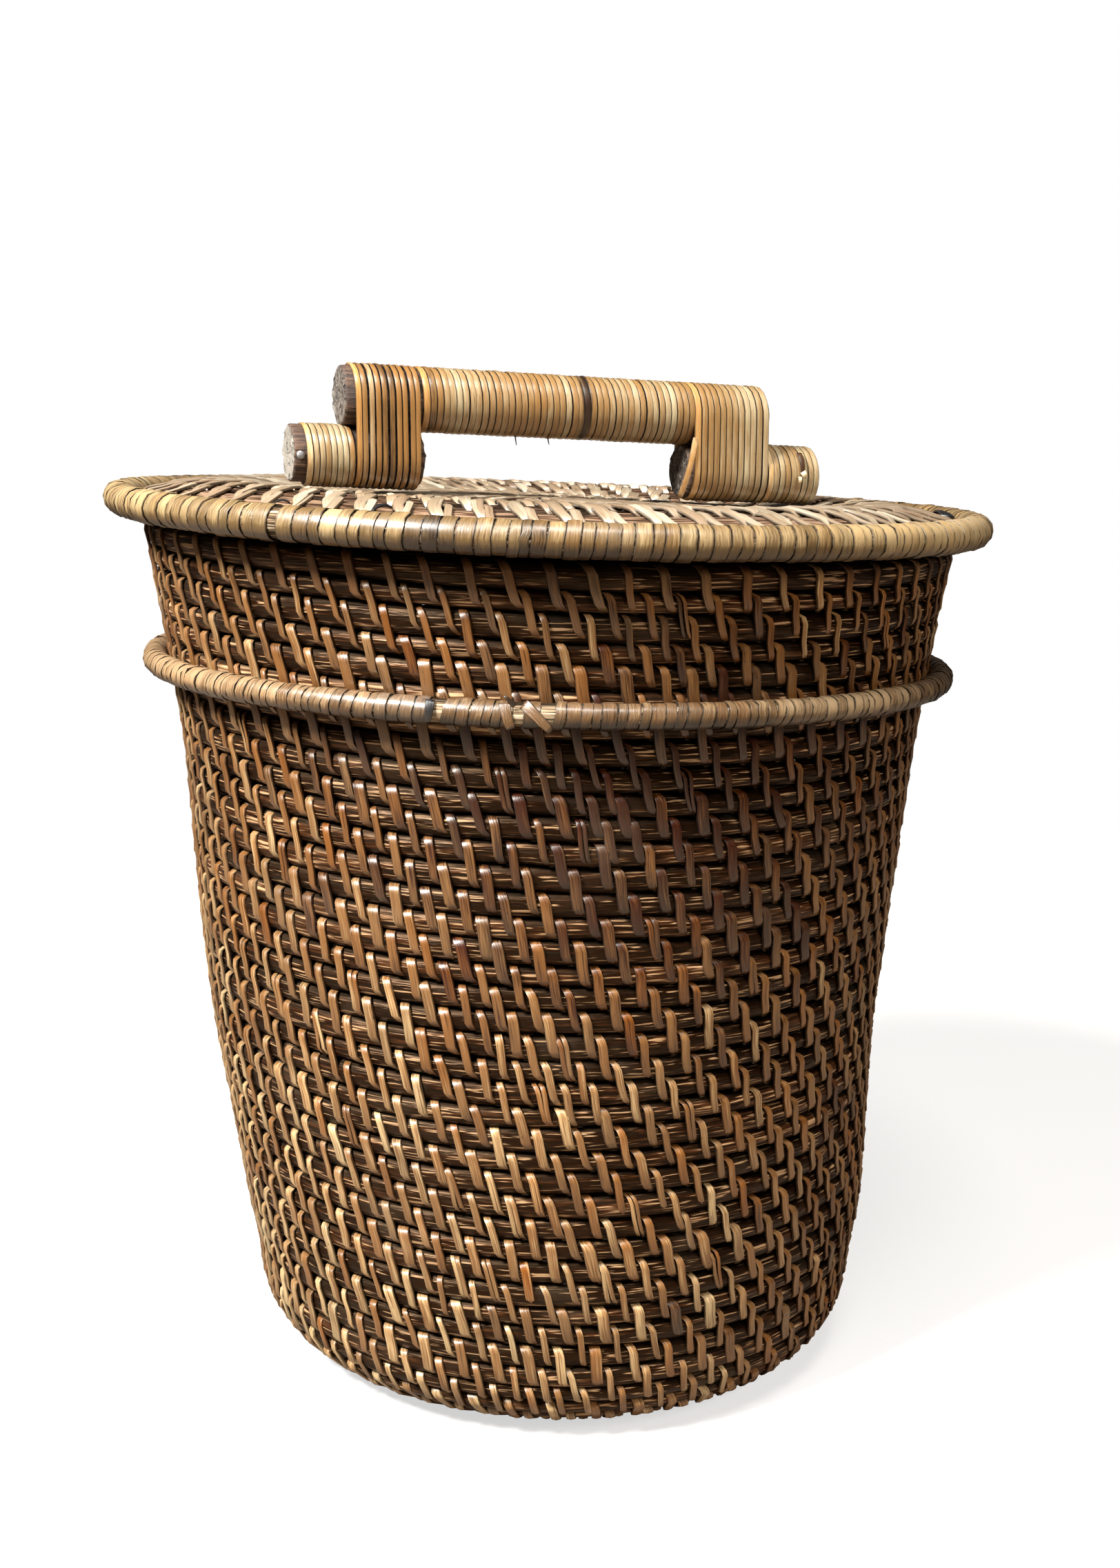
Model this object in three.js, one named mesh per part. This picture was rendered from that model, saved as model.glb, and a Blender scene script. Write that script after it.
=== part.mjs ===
// Lidded rattan basket: a coiled round body with a belly ring and a flat lid with a pole handle.
// Millimetres, +Z up, floor at Z = 0, centre line on the Z axis, handle along X.
import * as THREE from "three";

// Basket body
const FOOT_RADIUS = 96; // flat of the base
const KNUCKLE_RADIUS = 38.8; // bend from the base into the wall
const WALL_LEAN = 5.63; // degrees that the wall leans outwards
const WALL_LENGTH = 308; // straight wall, measured along its slope
const FLARE_START = 220; // how far up the straight wall the mouth starts to open
const FLARE_OUT = 3; // how much wider the flare makes the mouth
const WALL_THICKNESS = 10;
const COURSE_PITCH = 9.37; // from one rod to the next
const RIB_DEPTH = 3.6; // depth of the groove between two rods
const MOUTH_ROD = 11; // diameter of the top rod with its lashing

// Belly ring
const RING_HEIGHT = 297;
const RING_ROD = 10;

// Lid
const LID_RIM_ROD = 13;
const LID_RIM_SPREAD = 15.2; // rim centre line outside the centre line of the mouth rod
const LID_THICKNESS = 9.6;
const LID_DOME = 4; // rise of the lid from its edge to its middle
const LID_CENTRE_COURSES = 6;
const FLANGE_DEPTH = 16; // ring under the lid that drops into the mouth
const FLANGE_THICKNESS = 8;
const FLANGE_CLEARANCE = 3.2; // play between that ring and the wall

// Handle
const STUB_DIAMETER = 23.2;
const LEFT_STUB_LENGTH = 54;
const RIGHT_STUB_LENGTH = 63;
const LEFT_OVERHANG = 21; // how far the left stub stands out past the end of the bar
const RIGHT_OVERHANG = 24.5;
const BAR_DIAMETER = 24.4;
const BAR_LENGTH = 189;
const BAR_SHIFT = 3.5; // the handle sits a little to the right of the middle
const END_CHAMFER = 1.2; // sawn pole ends
const BAR_END_ROUND = 5; // worn right end of the bar

// Cane windings
const CANE_THICKNESS = 1.4;
const BAR_CANE_WIDTH = 4.4;
const LEG_CANE_WIDTH = 3.4;
const STUB_CANE_WIDTH = 3.4;
const LOOP_GAP = 0.55; // least gap from one loop to the next

// Clearances
const FIT_GAP = 0.3; // between pieces that touch
const WINDING_GAP = 1.2; // between a winding and the next one or the end of its pole

// Facets
const AROUND = 36;
const ROD_SIDES = 8;
const POLE_SIDES = 24;
const LOOP_STEPS = 12;

const OUTER_RATTAN = { color: 0x9a6a3c, roughness: 0.62, metalness: 0 };
const DARK_RATTAN = { color: 0x6f4326, roughness: 0.6, metalness: 0 };
const BASE_RATTAN = { color: 0x8a6238, roughness: 0.7, metalness: 0 };
const PALE_CANE = { color: 0xc9a468, roughness: 0.5, metalness: 0 };
const LID_RATTAN = { color: 0xc0a070, roughness: 0.65, metalness: 0 };
const POLE = { color: 0x8d8474, roughness: 0.85, metalness: 0 };
const HANDLE_CANE = { color: 0xc79a5c, roughness: 0.48, metalness: 0 };

const group = new THREE.Group();
group.name = "rattan_basket";

function add(name, geometry, look) {
  const mesh = new THREE.Mesh(geometry, new THREE.MeshStandardMaterial(look));
  mesh.name = name;
  group.add(mesh);
  return mesh;
}

// Turns an outline of [radius, height] points about the Z axis; one that starts off the axis is closed.
function turned(outline, sides) {
  const points = outline.map(([r, z]) => new THREE.Vector2(r, z));
  if (points[0].x > 0) points.push(points[0].clone());
  return new THREE.LatheGeometry(points, sides).rotateX(Math.PI / 2);
}

// Outline of the body

const lean = THREE.MathUtils.degToRad(WALL_LEAN);
const bendLength = KNUCKLE_RADIUS * (Math.PI / 2 - lean);
const outlineLength = bendLength + WALL_LENGTH;
const courses = Math.round(outlineLength / COURSE_PITCH);
const coursePitch = outlineLength / courses;

// Point of the wall at a length along the outline from the foot, a depth in from the outside.
function wallPoint(along, depth) {
  if (along < bendLength) {
    const angle = along / KNUCKLE_RADIUS - Math.PI / 2;
    const radius = KNUCKLE_RADIUS - depth;
    return [FOOT_RADIUS + radius * Math.cos(angle), KNUCKLE_RADIUS + radius * Math.sin(angle)];
  }
  const up = along - bendLength;
  const flared = Math.max(0, (up - FLARE_START) / (WALL_LENGTH - FLARE_START));
  const outwards = KNUCKLE_RADIUS * Math.cos(lean) + up * Math.sin(lean) + FLARE_OUT * flared ** 2;
  const height = KNUCKLE_RADIUS * (1 - Math.sin(lean)) + up * Math.cos(lean);
  return [FOOT_RADIUS + outwards - depth * Math.cos(lean), height + depth * Math.sin(lean)];
}

// Length along the outline at which the wall reaches a height.
function alongAtHeight(height) {
  return bendLength + (height - KNUCKLE_RADIUS * (1 - Math.sin(lean))) / Math.cos(lean);
}

// A band of courses: a crest on each rod and a groove between two rods, smooth on the inside.
function courseBand(first, last) {
  const start = first * coursePitch + FIT_GAP / 2;
  const end = last * coursePitch - FIT_GAP / 2;
  const outline = [wallPoint(start, RIB_DEPTH)];
  for (let course = first; course < last; course += 1) {
    outline.push(wallPoint((course + 0.5) * coursePitch, 0));
    const groove = course + 1 < last ? (course + 1) * coursePitch : end;
    outline.push(wallPoint(groove, RIB_DEPTH));
  }
  const insideSteps = Math.max(2, Math.round((last - first) / 3));
  for (let step = insideSteps; step >= 0; step -= 1) {
    outline.push(wallPoint(start + ((end - start) * step) / insideSteps, WALL_THICKNESS));
  }
  return turned(outline, AROUND);
}

// Body

const bendCourses = Math.ceil(bendLength / coursePitch);
const footCourses = Math.floor(bendCourses / 2);
const bandCourses = Math.round((courses - bendCourses) / 3);
const lowerEnd = bendCourses + bandCourses;
const middleEnd = lowerEnd + bandCourses;

add(
  "base_coils",
  turned(
    [
      [0, 0],
      [FOOT_RADIUS - FIT_GAP, 0],
      [FOOT_RADIUS - FIT_GAP, WALL_THICKNESS],
      [0, WALL_THICKNESS],
    ],
    AROUND,
  ),
  BASE_RATTAN,
);
add("wall_foot_courses", courseBand(0, footCourses), OUTER_RATTAN);
add("wall_bend_courses", courseBand(footCourses, bendCourses), OUTER_RATTAN);
add("wall_lower_courses", courseBand(bendCourses, lowerEnd), OUTER_RATTAN);
add("wall_middle_courses", courseBand(lowerEnd, middleEnd), OUTER_RATTAN);
add("wall_upper_courses", courseBand(middleEnd, courses), DARK_RATTAN);

// A ring of round rod, with a flat side below, above, inside and outside.
function rodRing(radius, height, diameter) {
  const outline = [];
  const reach = diameter / 2 / Math.cos(Math.PI / ROD_SIDES);
  for (let side = 0; side < ROD_SIDES; side += 1) {
    const angle = ((side + 0.5) / ROD_SIDES) * 2 * Math.PI;
    outline.push([radius + reach * Math.cos(angle), height + reach * Math.sin(angle)]);
  }
  return turned(outline, AROUND);
}

const mouthRadius = wallPoint(outlineLength, WALL_THICKNESS / 2)[0];
const wallTop = wallPoint(outlineLength, WALL_THICKNESS)[1];
const mouthHeight = wallTop + FIT_GAP + MOUTH_ROD / 2;
const mouthTop = mouthHeight + MOUTH_ROD / 2;
add("mouth_coil", rodRing(mouthRadius, mouthHeight, MOUTH_ROD), DARK_RATTAN);

const ringWallRadius = wallPoint(alongAtHeight(RING_HEIGHT + RING_ROD / 4), 0)[0];
const ringRadius = ringWallRadius + RING_ROD / 2 + FIT_GAP;
add("belly_ring", rodRing(ringRadius, RING_HEIGHT, RING_ROD), PALE_CANE);

// Lid

const rimRadius = mouthRadius + LID_RIM_SPREAD;
const panelRadius = rimRadius - LID_RIM_ROD / 2 - FIT_GAP;
const panelUnderside = mouthTop + FIT_GAP;
const rimHeight = panelUnderside + LID_RIM_ROD / 2 - FIT_GAP;
const lidCourses = Math.round(panelRadius / COURSE_PITCH);
const lidPitch = panelRadius / lidCourses;

// Height of the lid above its edge at a distance from the middle.
function domeRise(radius) {
  return LID_DOME * (1 - (radius / panelRadius) ** 2);
}

// A ring of lid courses: crests and grooves on top, a smooth dome below.
function lidBand(first, last, sides) {
  const inner = first === 0 ? 0 : first * lidPitch + FIT_GAP / 2;
  const outer = last === lidCourses ? panelRadius : last * lidPitch - FIT_GAP / 2;
  const top = panelUnderside + LID_THICKNESS;
  const crest = (radius) => [radius, top + domeRise(radius)];
  const groove = (radius) => [radius, top + domeRise(radius) - RIB_DEPTH];
  const underside = (radius) => [radius, panelUnderside + domeRise(radius)];
  const outline = [underside(inner), underside((inner + outer) / 2), underside(outer), groove(outer)];
  for (let course = last - 1; course >= first; course -= 1) {
    outline.push(crest((course + 0.5) * lidPitch));
    outline.push(groove(course > first ? course * lidPitch : inner));
  }
  return turned(outline, sides);
}

add("lid_centre_coils", lidBand(0, LID_CENTRE_COURSES, AROUND / 2), LID_RATTAN);
add("lid_outer_coils", lidBand(LID_CENTRE_COURSES, lidCourses, AROUND), LID_RATTAN);
add("lid_rim", rodRing(rimRadius, rimHeight, LID_RIM_ROD), PALE_CANE);

const flangeTop = panelUnderside - FIT_GAP;
const flangeBottom = flangeTop - FLANGE_DEPTH;
const wallInside = wallPoint(alongAtHeight(flangeBottom), WALL_THICKNESS)[0];
const flangeRadius = Math.min(wallInside, mouthRadius - MOUTH_ROD / 2) - FLANGE_CLEARANCE;
add(
  "lid_flange",
  turned(
    [
      [flangeRadius - FLANGE_THICKNESS, flangeBottom],
      [flangeRadius, flangeBottom],
      [flangeRadius, flangeTop],
      [flangeRadius - FLANGE_THICKNESS, flangeTop],
    ],
    AROUND,
  ),
  DARK_RATTAN,
);

// Handle poles

// Radius at which the corners of a wound strip keep its flats clear of a pole.
function windRadius(poleRadius) {
  return (poleRadius + FIT_GAP) / Math.cos(Math.PI / LOOP_STEPS) + CANE_THICKNESS / 2;
}

const stubRadius = STUB_DIAMETER / 2;
const barRadius = BAR_DIAMETER / 2;
const stubWind = windRadius(stubRadius);
const barWind = windRadius(barRadius);
const barLeft = BAR_SHIFT - BAR_LENGTH / 2;
const barRight = BAR_SHIFT + BAR_LENGTH / 2;
const leftOuterEnd = barLeft - LEFT_OVERHANG;
const leftInnerEnd = leftOuterEnd + LEFT_STUB_LENGTH;
const rightOuterEnd = barRight + RIGHT_OVERHANG;
const rightInnerEnd = rightOuterEnd - RIGHT_STUB_LENGTH;
const lidCrest = panelUnderside + LID_THICKNESS + LID_DOME;
const stubHeight = lidCrest + FIT_GAP + stubWind + CANE_THICKNESS / 2;
const barHeight = stubHeight + stubRadius + FIT_GAP + barRadius;

// A pole along X from one end to the other, with a chamfer on each end.
function pole(from, to, height, radius, fromChamfer, toChamfer) {
  const outline = [
    [0, from],
    [radius - fromChamfer, from],
    [radius, from + fromChamfer],
    [radius, to - toChamfer],
    [radius - toChamfer, to],
    [0, to],
  ];
  return turned(outline, POLE_SIDES)
    .rotateY(Math.PI / 2)
    .translate(0, 0, height);
}

const stub = (from, to) => pole(from, to, stubHeight, stubRadius, END_CHAMFER, END_CHAMFER);
add("handle_stub_left", stub(leftOuterEnd, leftInnerEnd), POLE);
add("handle_stub_right", stub(rightInnerEnd, rightOuterEnd), POLE);
add("handle_bar", pole(barLeft, barRight, barHeight, barRadius, END_CHAMFER, BAR_END_ROUND), POLE);

// Cane windings

// Least distance between points of the path that lie half a loop or more apart.
function leastGap(path, stepsPerLoop, width) {
  let least = Infinity;
  for (let i = 0; i < path.length; i += 1) {
    for (let j = i + Math.floor(stepsPerLoop / 2); j < path.length; j += 1) {
      least = Math.min(least, path[i].centre.distanceTo(path[j].centre));
    }
  }
  return least - width;
}

// A flat strip swept along a path of centres, each with its outward direction.
function strip(path, width) {
  const corners = [];
  path.forEach(({ centre, outward }, i) => {
    const before = path[Math.max(0, i - 1)].centre;
    const after = path[Math.min(path.length - 1, i + 1)].centre;
    const tangent = after.clone().sub(before).normalize();
    const side = new THREE.Vector3().crossVectors(tangent, outward).normalize();
    for (const [s, t] of [[-1, -1], [1, -1], [1, 1], [-1, 1]]) {
      const corner = centre.clone().addScaledVector(side, (s * width) / 2);
      corners.push(corner.addScaledVector(outward, (t * CANE_THICKNESS) / 2));
    }
  });
  const faces = [0, 1, 2, 0, 2, 3];
  for (let i = 0; i + 1 < path.length; i += 1) {
    for (let k = 0; k < 4; k += 1) {
      const a = 4 * i + k;
      const b = 4 * i + ((k + 1) % 4);
      faces.push(a, b + 4, b, a, a + 4, b + 4);
    }
  }
  const end = 4 * (path.length - 1);
  faces.push(end, end + 2, end + 1, end, end + 3, end + 2);
  const geometry = new THREE.BufferGeometry().setFromPoints(corners);
  geometry.setIndex(faces);
  geometry.computeVertexNormals();
  return geometry;
}

// Loops that advance along X round a closed section; the section maps a share of a turn to
// the height and depth of a point and to its outward direction.
function winding(name, from, to, width, stepsPerLoop, section) {
  const path = [];
  const first = from + width / 2;
  const last = to - width / 2;
  const loops = Math.max(1, Math.floor((last - first) / (width + LOOP_GAP)));
  const steps = loops * stepsPerLoop;
  for (let i = 0; i <= steps; i += 1) {
    const { y, z, outward } = section((i / stepsPerLoop) % 1);
    const x = first + ((last - first) * i) / steps;
    path.push({ centre: new THREE.Vector3(x, y, z), outward });
  }
  const straightEnd = (end, next) => {
    const away = end.centre.clone().sub(next.centre);
    away.x = 0;
    away.addScaledVector(end.outward, -away.dot(end.outward)).setLength(width);
    return { centre: end.centre.clone().add(away), outward: end.outward };
  };
  path.unshift(straightEnd(path[0], path[1]));
  path.push(straightEnd(path[path.length - 1], path[path.length - 2]));
  const gap = leastGap(path, stepsPerLoop, width);
  console.log(`${name}: ${loops} loops, least gap between them ${gap.toFixed(2)} mm`);
  add(name, strip(path, width), HANDLE_CANE);
}

// Section round one pole.
function roundPole(height, radius) {
  return (share) => {
    const angle = 2 * Math.PI * share - Math.PI / 2;
    const outward = new THREE.Vector3(0, Math.cos(angle), Math.sin(angle));
    return { y: radius * outward.y, z: height + radius * outward.z, outward };
  };
}

// Section round the stub and the bar above it: half a turn round each, with straight sides between.
const LEG_STEPS = LOOP_STEPS + 2;
function roundBothPoles(share) {
  const step = (Math.round(share * LEG_STEPS) + LOOP_STEPS / 4) % LEG_STEPS;
  const above = step > LOOP_STEPS / 2;
  const turn = step - LOOP_STEPS / 2 - (above ? 1 : 0);
  const angle = (turn * 2 * Math.PI) / LOOP_STEPS;
  const outward = new THREE.Vector3(0, Math.cos(angle), Math.sin(angle));
  const radius = above ? barWind : stubWind;
  const height = above ? barHeight : stubHeight;
  return { y: radius * outward.y, z: height + radius * outward.z, outward };
}

const aroundBar = roundPole(barHeight, barWind);
const aroundStub = roundPole(stubHeight, stubWind);
const bareEnd = END_CHAMFER + WINDING_GAP;
const leftLeg = [barLeft + bareEnd, leftInnerEnd - WINDING_GAP];
const rightLeg = [rightInnerEnd + WINDING_GAP, barRight - bareEnd];
const leftStub = [leftOuterEnd + bareEnd, barLeft - FIT_GAP];
const rightStub = [barRight + FIT_GAP, rightOuterEnd - bareEnd];

winding("bar_winding", leftInnerEnd, rightInnerEnd, BAR_CANE_WIDTH, LOOP_STEPS, aroundBar);
winding("leg_winding_left", ...leftLeg, LEG_CANE_WIDTH, LEG_STEPS, roundBothPoles);
winding("leg_winding_right", ...rightLeg, LEG_CANE_WIDTH, LEG_STEPS, roundBothPoles);
winding("stub_winding_left", ...leftStub, STUB_CANE_WIDTH, LOOP_STEPS, aroundStub);
winding("stub_winding_right", ...rightStub, STUB_CANE_WIDTH, LOOP_STEPS, aroundStub);

export default group;
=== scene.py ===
"""Looks of the lidded rattan basket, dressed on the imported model. Metres, +Z up, handle along X."""
import math

import bmesh
import bpy
import numpy as np
from mathutils import Euler, Matrix, Vector


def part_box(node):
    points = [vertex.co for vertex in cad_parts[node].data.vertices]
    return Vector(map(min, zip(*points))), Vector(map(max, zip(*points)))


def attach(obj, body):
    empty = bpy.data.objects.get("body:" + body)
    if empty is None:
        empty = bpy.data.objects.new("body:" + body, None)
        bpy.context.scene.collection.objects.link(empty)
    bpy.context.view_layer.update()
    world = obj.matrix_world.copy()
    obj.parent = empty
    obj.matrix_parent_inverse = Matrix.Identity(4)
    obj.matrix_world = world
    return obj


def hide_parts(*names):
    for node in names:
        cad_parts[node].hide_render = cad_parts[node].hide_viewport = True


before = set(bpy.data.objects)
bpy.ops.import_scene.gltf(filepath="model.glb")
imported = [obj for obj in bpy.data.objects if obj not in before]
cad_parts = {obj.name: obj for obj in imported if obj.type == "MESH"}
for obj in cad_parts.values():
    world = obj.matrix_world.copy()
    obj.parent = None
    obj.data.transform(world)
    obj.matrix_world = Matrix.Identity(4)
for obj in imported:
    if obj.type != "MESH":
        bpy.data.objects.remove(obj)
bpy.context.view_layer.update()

rng = np.random.default_rng(2026)
MM = 0.001
TURN = 2 * math.pi

# Sizes of the coiled work, as in the solids

FOOT_RADIUS = 96 * MM
BEND_RADIUS = 38.8 * MM
LEAN = math.radians(5.63)
WALL_LENGTH = 308 * MM
FLARE_START = 220 * MM
FLARE_OUT = 3 * MM
WALL_THICKNESS = 10 * MM
WALL_COURSES = 39
BASE_COURSES = 10
BODY_COURSES = BASE_COURSES + WALL_COURSES
MOUTH_COURSE = 10 * MM
BEND_LENGTH = BEND_RADIUS * (math.pi / 2 - LEAN)
WALL_PITCH = (BEND_LENGTH + WALL_LENGTH) / WALL_COURSES
BASE_PITCH = FOOT_RADIUS / BASE_COURSES

# Bands of wall courses that each stand for one solid: name, first course and the course after it.
BANDS = (
    ("foot", 10, 13),
    ("bend", 13, 17),
    ("lower", 17, 28),
    ("middle", 28, 39),
    ("upper", 39, 49),
)

# Rods: how deep their middle lies, half their thickness and the gap between two of them.
ROD_DEPTH = 5 * MM
ROD_HALF_THICK = 3.75 * MM
ROD_GAP = 0.35 * MM
ROD_SIDES = 14
ROD_STEPS = 160
# Rods that touch: their share of the height in front, what is added behind, and a power that makes
# their section fuller, where 1 leaves it round.
TOUCHING_FRONT = 0.97
TOUCHING_BACK = 0.14
ROD_FLATNESS = 0.72
# How a rod wanders, as a length and an amount: out, up, in thickness and in tone.
ROD_OUT = (24 * MM, 0.26 * MM)
ROD_UP = (29 * MM, 0.3 * MM)
ROD_FAT = (45 * MM, 0.035)
ROD_TONE = (90 * MM, 0.14)
# Length over which a rod's wandering fades out at the end of its round
ROD_FADES = 20 * MM

# Split-cane lashing

CANE_WIDTH = 3.7 * MM
CANE_THICKNESS = 1.2 * MM
STITCH_SPACING = 13.6 * MM
STITCH_SHIFT = 6.5 * MM
STITCH_SLANT = 6 * MM
# Places along a stitch over two rods, in rods from where it comes out, and how deep it lies there.
STITCH_PLACES = (0.0, 0.03, 0.1, 0.34, 0.98, 1.5, 1.74, 1.9, 2.0)
STITCH_DEPTHS = (5.4, 2.3, 0.75, 0.0, 0.4, 0.0, 0.95, 2.7, 5.4)
STITCH_STEPS = len(STITCH_PLACES) - 1
# Least number of stitches in a course, share by which they even out from course to course, how many
# spacings two may be apart before one more goes in between, and how far a stitch is off its place.
FEWEST_STITCHES = 6
EVENING = 0.2
WIDEST_GAP = (1.2, 1.5)
STITCH_SCATTER = 0.4 * MM
# On the back a strip starts this share of its slant further on. Next to the middle of the base and
# of the lid, strips spread as they would at the tightest radius.
BACK_SHIFT = 0.15
TIGHTEST = 6 * MM
# How strips vary: shares of the usual width by course, and about them by strip; share of the strips
# that are split lengthwise, and how far their halves lie from the middle; how much the slant differs
# on the back and on the face; share of the sideways run that comes late; share of the usual
# thickness; and how many millimetres a strip stands off the rods.
COURSE_WIDTHS = (0.82, 0.95, 1.05, 1.2)
STRIP_SPREAD = 0.18
SPLIT_SHARE = 0.03
SPLIT_APART = 0.95 * MM
BACK_SLANT_SPREAD = 0.1
SLANT_SPREAD = 0.2
HOOK = (-0.1, 0.45)
STRIP_THICK = (0.85, 1.12)
STRIP_LIFT = (-0.05, 0.22)


def box_of(node):
    """The low and the high corner of a node's box."""
    low, high = (Vector(corner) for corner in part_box(node))
    return low, high


def section_of(node):
    """Half the height of a level rod, pole or ring, which is a rod's radius, and how high it lies."""
    low, high = box_of(node)
    return (high.z - low.z) / 2, (high.z + low.z) / 2


# Sizes read from the frame

mouth_low, mouth_high = box_of("mouth_coil")
RING_ROD_RADIUS, RING_HEIGHT = section_of("belly_ring")
RING_RADIUS = box_of("belly_ring")[1].x - RING_ROD_RADIUS
RIM_ROD_RADIUS, RIM_HEIGHT = section_of("lid_rim")
RIM_RADIUS = box_of("lid_rim")[1].x - RIM_ROD_RADIUS
panel_low, panel_high = box_of("lid_outer_coils")
crest = box_of("lid_centre_coils")[1].z
PANEL_RADIUS = panel_high.x
LID_COURSES = 18
LID_CENTRE_COURSES = 6
LID_PITCH = PANEL_RADIUS / LID_COURSES
LID_THICKNESS = 9.6 * MM
LID_DOME = 4 * MM
LID_EDGE_TOP = crest - LID_DOME
LID_EDGE_DROP = 1.2 * MM
STUB_RADIUS, STUB_HEIGHT = section_of("handle_stub_left")
left_stub_low, left_stub_high = box_of("handle_stub_left")
right_stub_low, right_stub_high = box_of("handle_stub_right")
BAR_RADIUS, BAR_HEIGHT = section_of("handle_bar")
bar_low, bar_high = box_of("handle_bar")


# Outlines

def outline(s, depth):
    """Radius and height of a point of the body: a length along the outline from the middle of the
    base, and a depth in from the outer face."""
    bend = np.clip(s - FOOT_RADIUS, 0, BEND_LENGTH) / BEND_RADIUS - math.pi / 2
    reach = BEND_RADIUS - depth
    radius = FOOT_RADIUS + reach * np.cos(bend)
    height = BEND_RADIUS + reach * np.sin(bend)
    up = np.maximum(s - FOOT_RADIUS - BEND_LENGTH, 0)
    flared = np.maximum(up - FLARE_START, 0) / (WALL_LENGTH - FLARE_START)
    radius = radius + up * math.sin(LEAN) + FLARE_OUT * flared ** 2
    height = height + up * math.cos(LEAN)
    return np.where(s < FOOT_RADIUS, s, radius), height


def inside_outline(s, depth):
    """The same from the inner face outwards."""
    return outline(s, WALL_THICKNESS - depth)


# Rods are not all equally thick, so courses start a little early or late.
UNEVEN_COURSES = 0.42 * MM
COURSE_DRIFT = rng.normal(0, UNEVEN_COURSES, BODY_COURSES + 2)
COURSE_DRIFT[[0, -2, -1]] = 0


def body_course(course):
    """Length along the outline at which a course starts: the base's courses come first, and the
    thicker mouth rod last."""
    on_base = course * BASE_PITCH
    on_wall = FOOT_RADIUS + (course - BASE_COURSES) * WALL_PITCH
    on_wall = on_wall + (MOUTH_COURSE - WALL_PITCH) * (course > BODY_COURSES)
    return np.where(course <= BASE_COURSES, on_base, on_wall) + COURSE_DRIFT[course]


def lid_outline(s, depth):
    """Radius and height of a point of the lid, a depth below its upper face."""
    share = s / PANEL_RADIUS
    rise = LID_DOME * (1 - share ** 2) - LID_EDGE_DROP * share ** 10
    return s + 0 * depth, LID_EDGE_TOP + rise - depth


def lid_underside(s, depth):
    """The same from the underside of the lid upwards."""
    return lid_outline(s, LID_THICKNESS - depth)


def lid_course(course):
    return course * LID_PITCH


# How the hand-made basket departs from a true round: its rows are a little higher on the left, as
# it is photographed, and most so at the mouth and the lid; its lower half stands further right than
# its upper half; its front dips under the lid, its left side is pressed in below the ring, and it is
# drawn in over the foot, which spreads a little to the right in front. The lid has sunk under the
# handle, to the right most, and bulges inside its rim, most in front. Heights are from the floor, and
# radii from the centre line.
FRONT = math.radians(-110)
TILT = 0.012
MOUTH_TILT = 0.011
SIDE_STEP = 3.5 * MM
STEP_HEIGHTS = (40 * MM, 166 * MM)
FRONT_DIP = 2.2 * MM
WAVE = 0.6 * MM
WAVE_TURN = 2.1
PRESSED_IN = 2.4 * MM
PRESSED_HEIGHT = 262 * MM
PRESSED_REACH = 50 * MM
DRAWN_IN = 2 * MM
DRAWN_HEIGHT = 37 * MM
DRAWN_REACH = 17 * MM
FOOT_SPREAD = 2.6 * MM
SPREAD_HEIGHT = 10 * MM
SPREAD_REACH = 13 * MM
SPREAD_TURN = 0.35
LID_SAG = 2.6 * MM
SAG_RIGHT = 0.01
SAG_RADII = (105 * MM, 150 * MM)
LID_BULGE = 5.6 * MM
BULGE_RADII = (100 * MM, 140 * MM)
BULGE_END = 174.5 * MM
BULGE_FADE = 24 * MM
BULGE_BEHIND = 0.6
ABOVE_MOUTH = 6 * MM
HANDLE_SLOTS = ("weathered_pole", "handle_cane")


def ease(value, low, high):
    """A smooth step from nothing to one between two values."""
    share = np.clip((value - low) / (high - low), 0, 1)
    return share * share * (3 - 2 * share)


def bell(value, middle, reach):
    """One at the middle, falling off smoothly on both sides."""
    return np.exp(-((value - middle) / reach) ** 2)


def settle(co, handle=False):
    """Moves points from the true round to the shape of the hand-made basket."""
    x, y, z = co[:, 0], co[:, 1], co[:, 2]
    radius = np.maximum(np.hypot(x, y), MM)
    angle = np.arctan2(y, x)
    front = np.cos(angle - FRONT) * radius
    left = -np.sin(angle - FRONT) * radius
    share = np.clip(z / RING_HEIGHT, 0, 1)
    near_top = np.clip((z - RING_HEIGHT) / (mouth_low.z - RING_HEIGHT), 0, 1)
    out = WAVE * np.sin(math.pi * share) ** 2 * np.sin(3 * angle + WAVE_TURN)
    pressed = bell(z, PRESSED_HEIGHT, PRESSED_REACH) * np.maximum(left / radius, 0)
    out = out - PRESSED_IN * pressed - DRAWN_IN * bell(z, DRAWN_HEIGHT, DRAWN_REACH)
    to_front = np.clip(np.cos(angle - FRONT - SPREAD_TURN), 0, 1) ** 2
    spread = bell(z, SPREAD_HEIGHT, SPREAD_REACH) * to_front * np.clip(radius / FOOT_RADIUS, 0, 1)
    out = out + FOOT_SPREAD * spread
    rise = left * (TILT * share + MOUTH_TILT * near_top)
    rise = rise - FRONT_DIP * near_top * np.maximum(front / RIM_RADIUS, 0) ** 2
    sag = LID_SAG + SAG_RIGHT * x
    if handle:
        rise = rise - sag
    else:
        on_lid = np.clip((z - mouth_high.z) / ABOVE_MOUTH, 0, 1)
        shoulder = ease(radius, *BULGE_RADII) * np.clip((BULGE_END - radius) / BULGE_FADE, 0, 1)
        bulge = BULGE_BEHIND + (1 - BULGE_BEHIND) * ease(front / radius, -0.1, 0.8)
        sunk = sag * (1 - ease(radius, *SAG_RADII))
        rise = rise + on_lid * (LID_BULGE * shoulder * bulge - sunk)
    step = SIDE_STEP * (2 * ease(z, *STEP_HEIGHTS) - 1)
    x = x * (1 + out / radius) + step * math.sin(FRONT)
    y = y * (1 + out / radius) - step * math.cos(FRONT)
    return np.stack([x, y, np.maximum(z + rise, 0)], -1)


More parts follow.
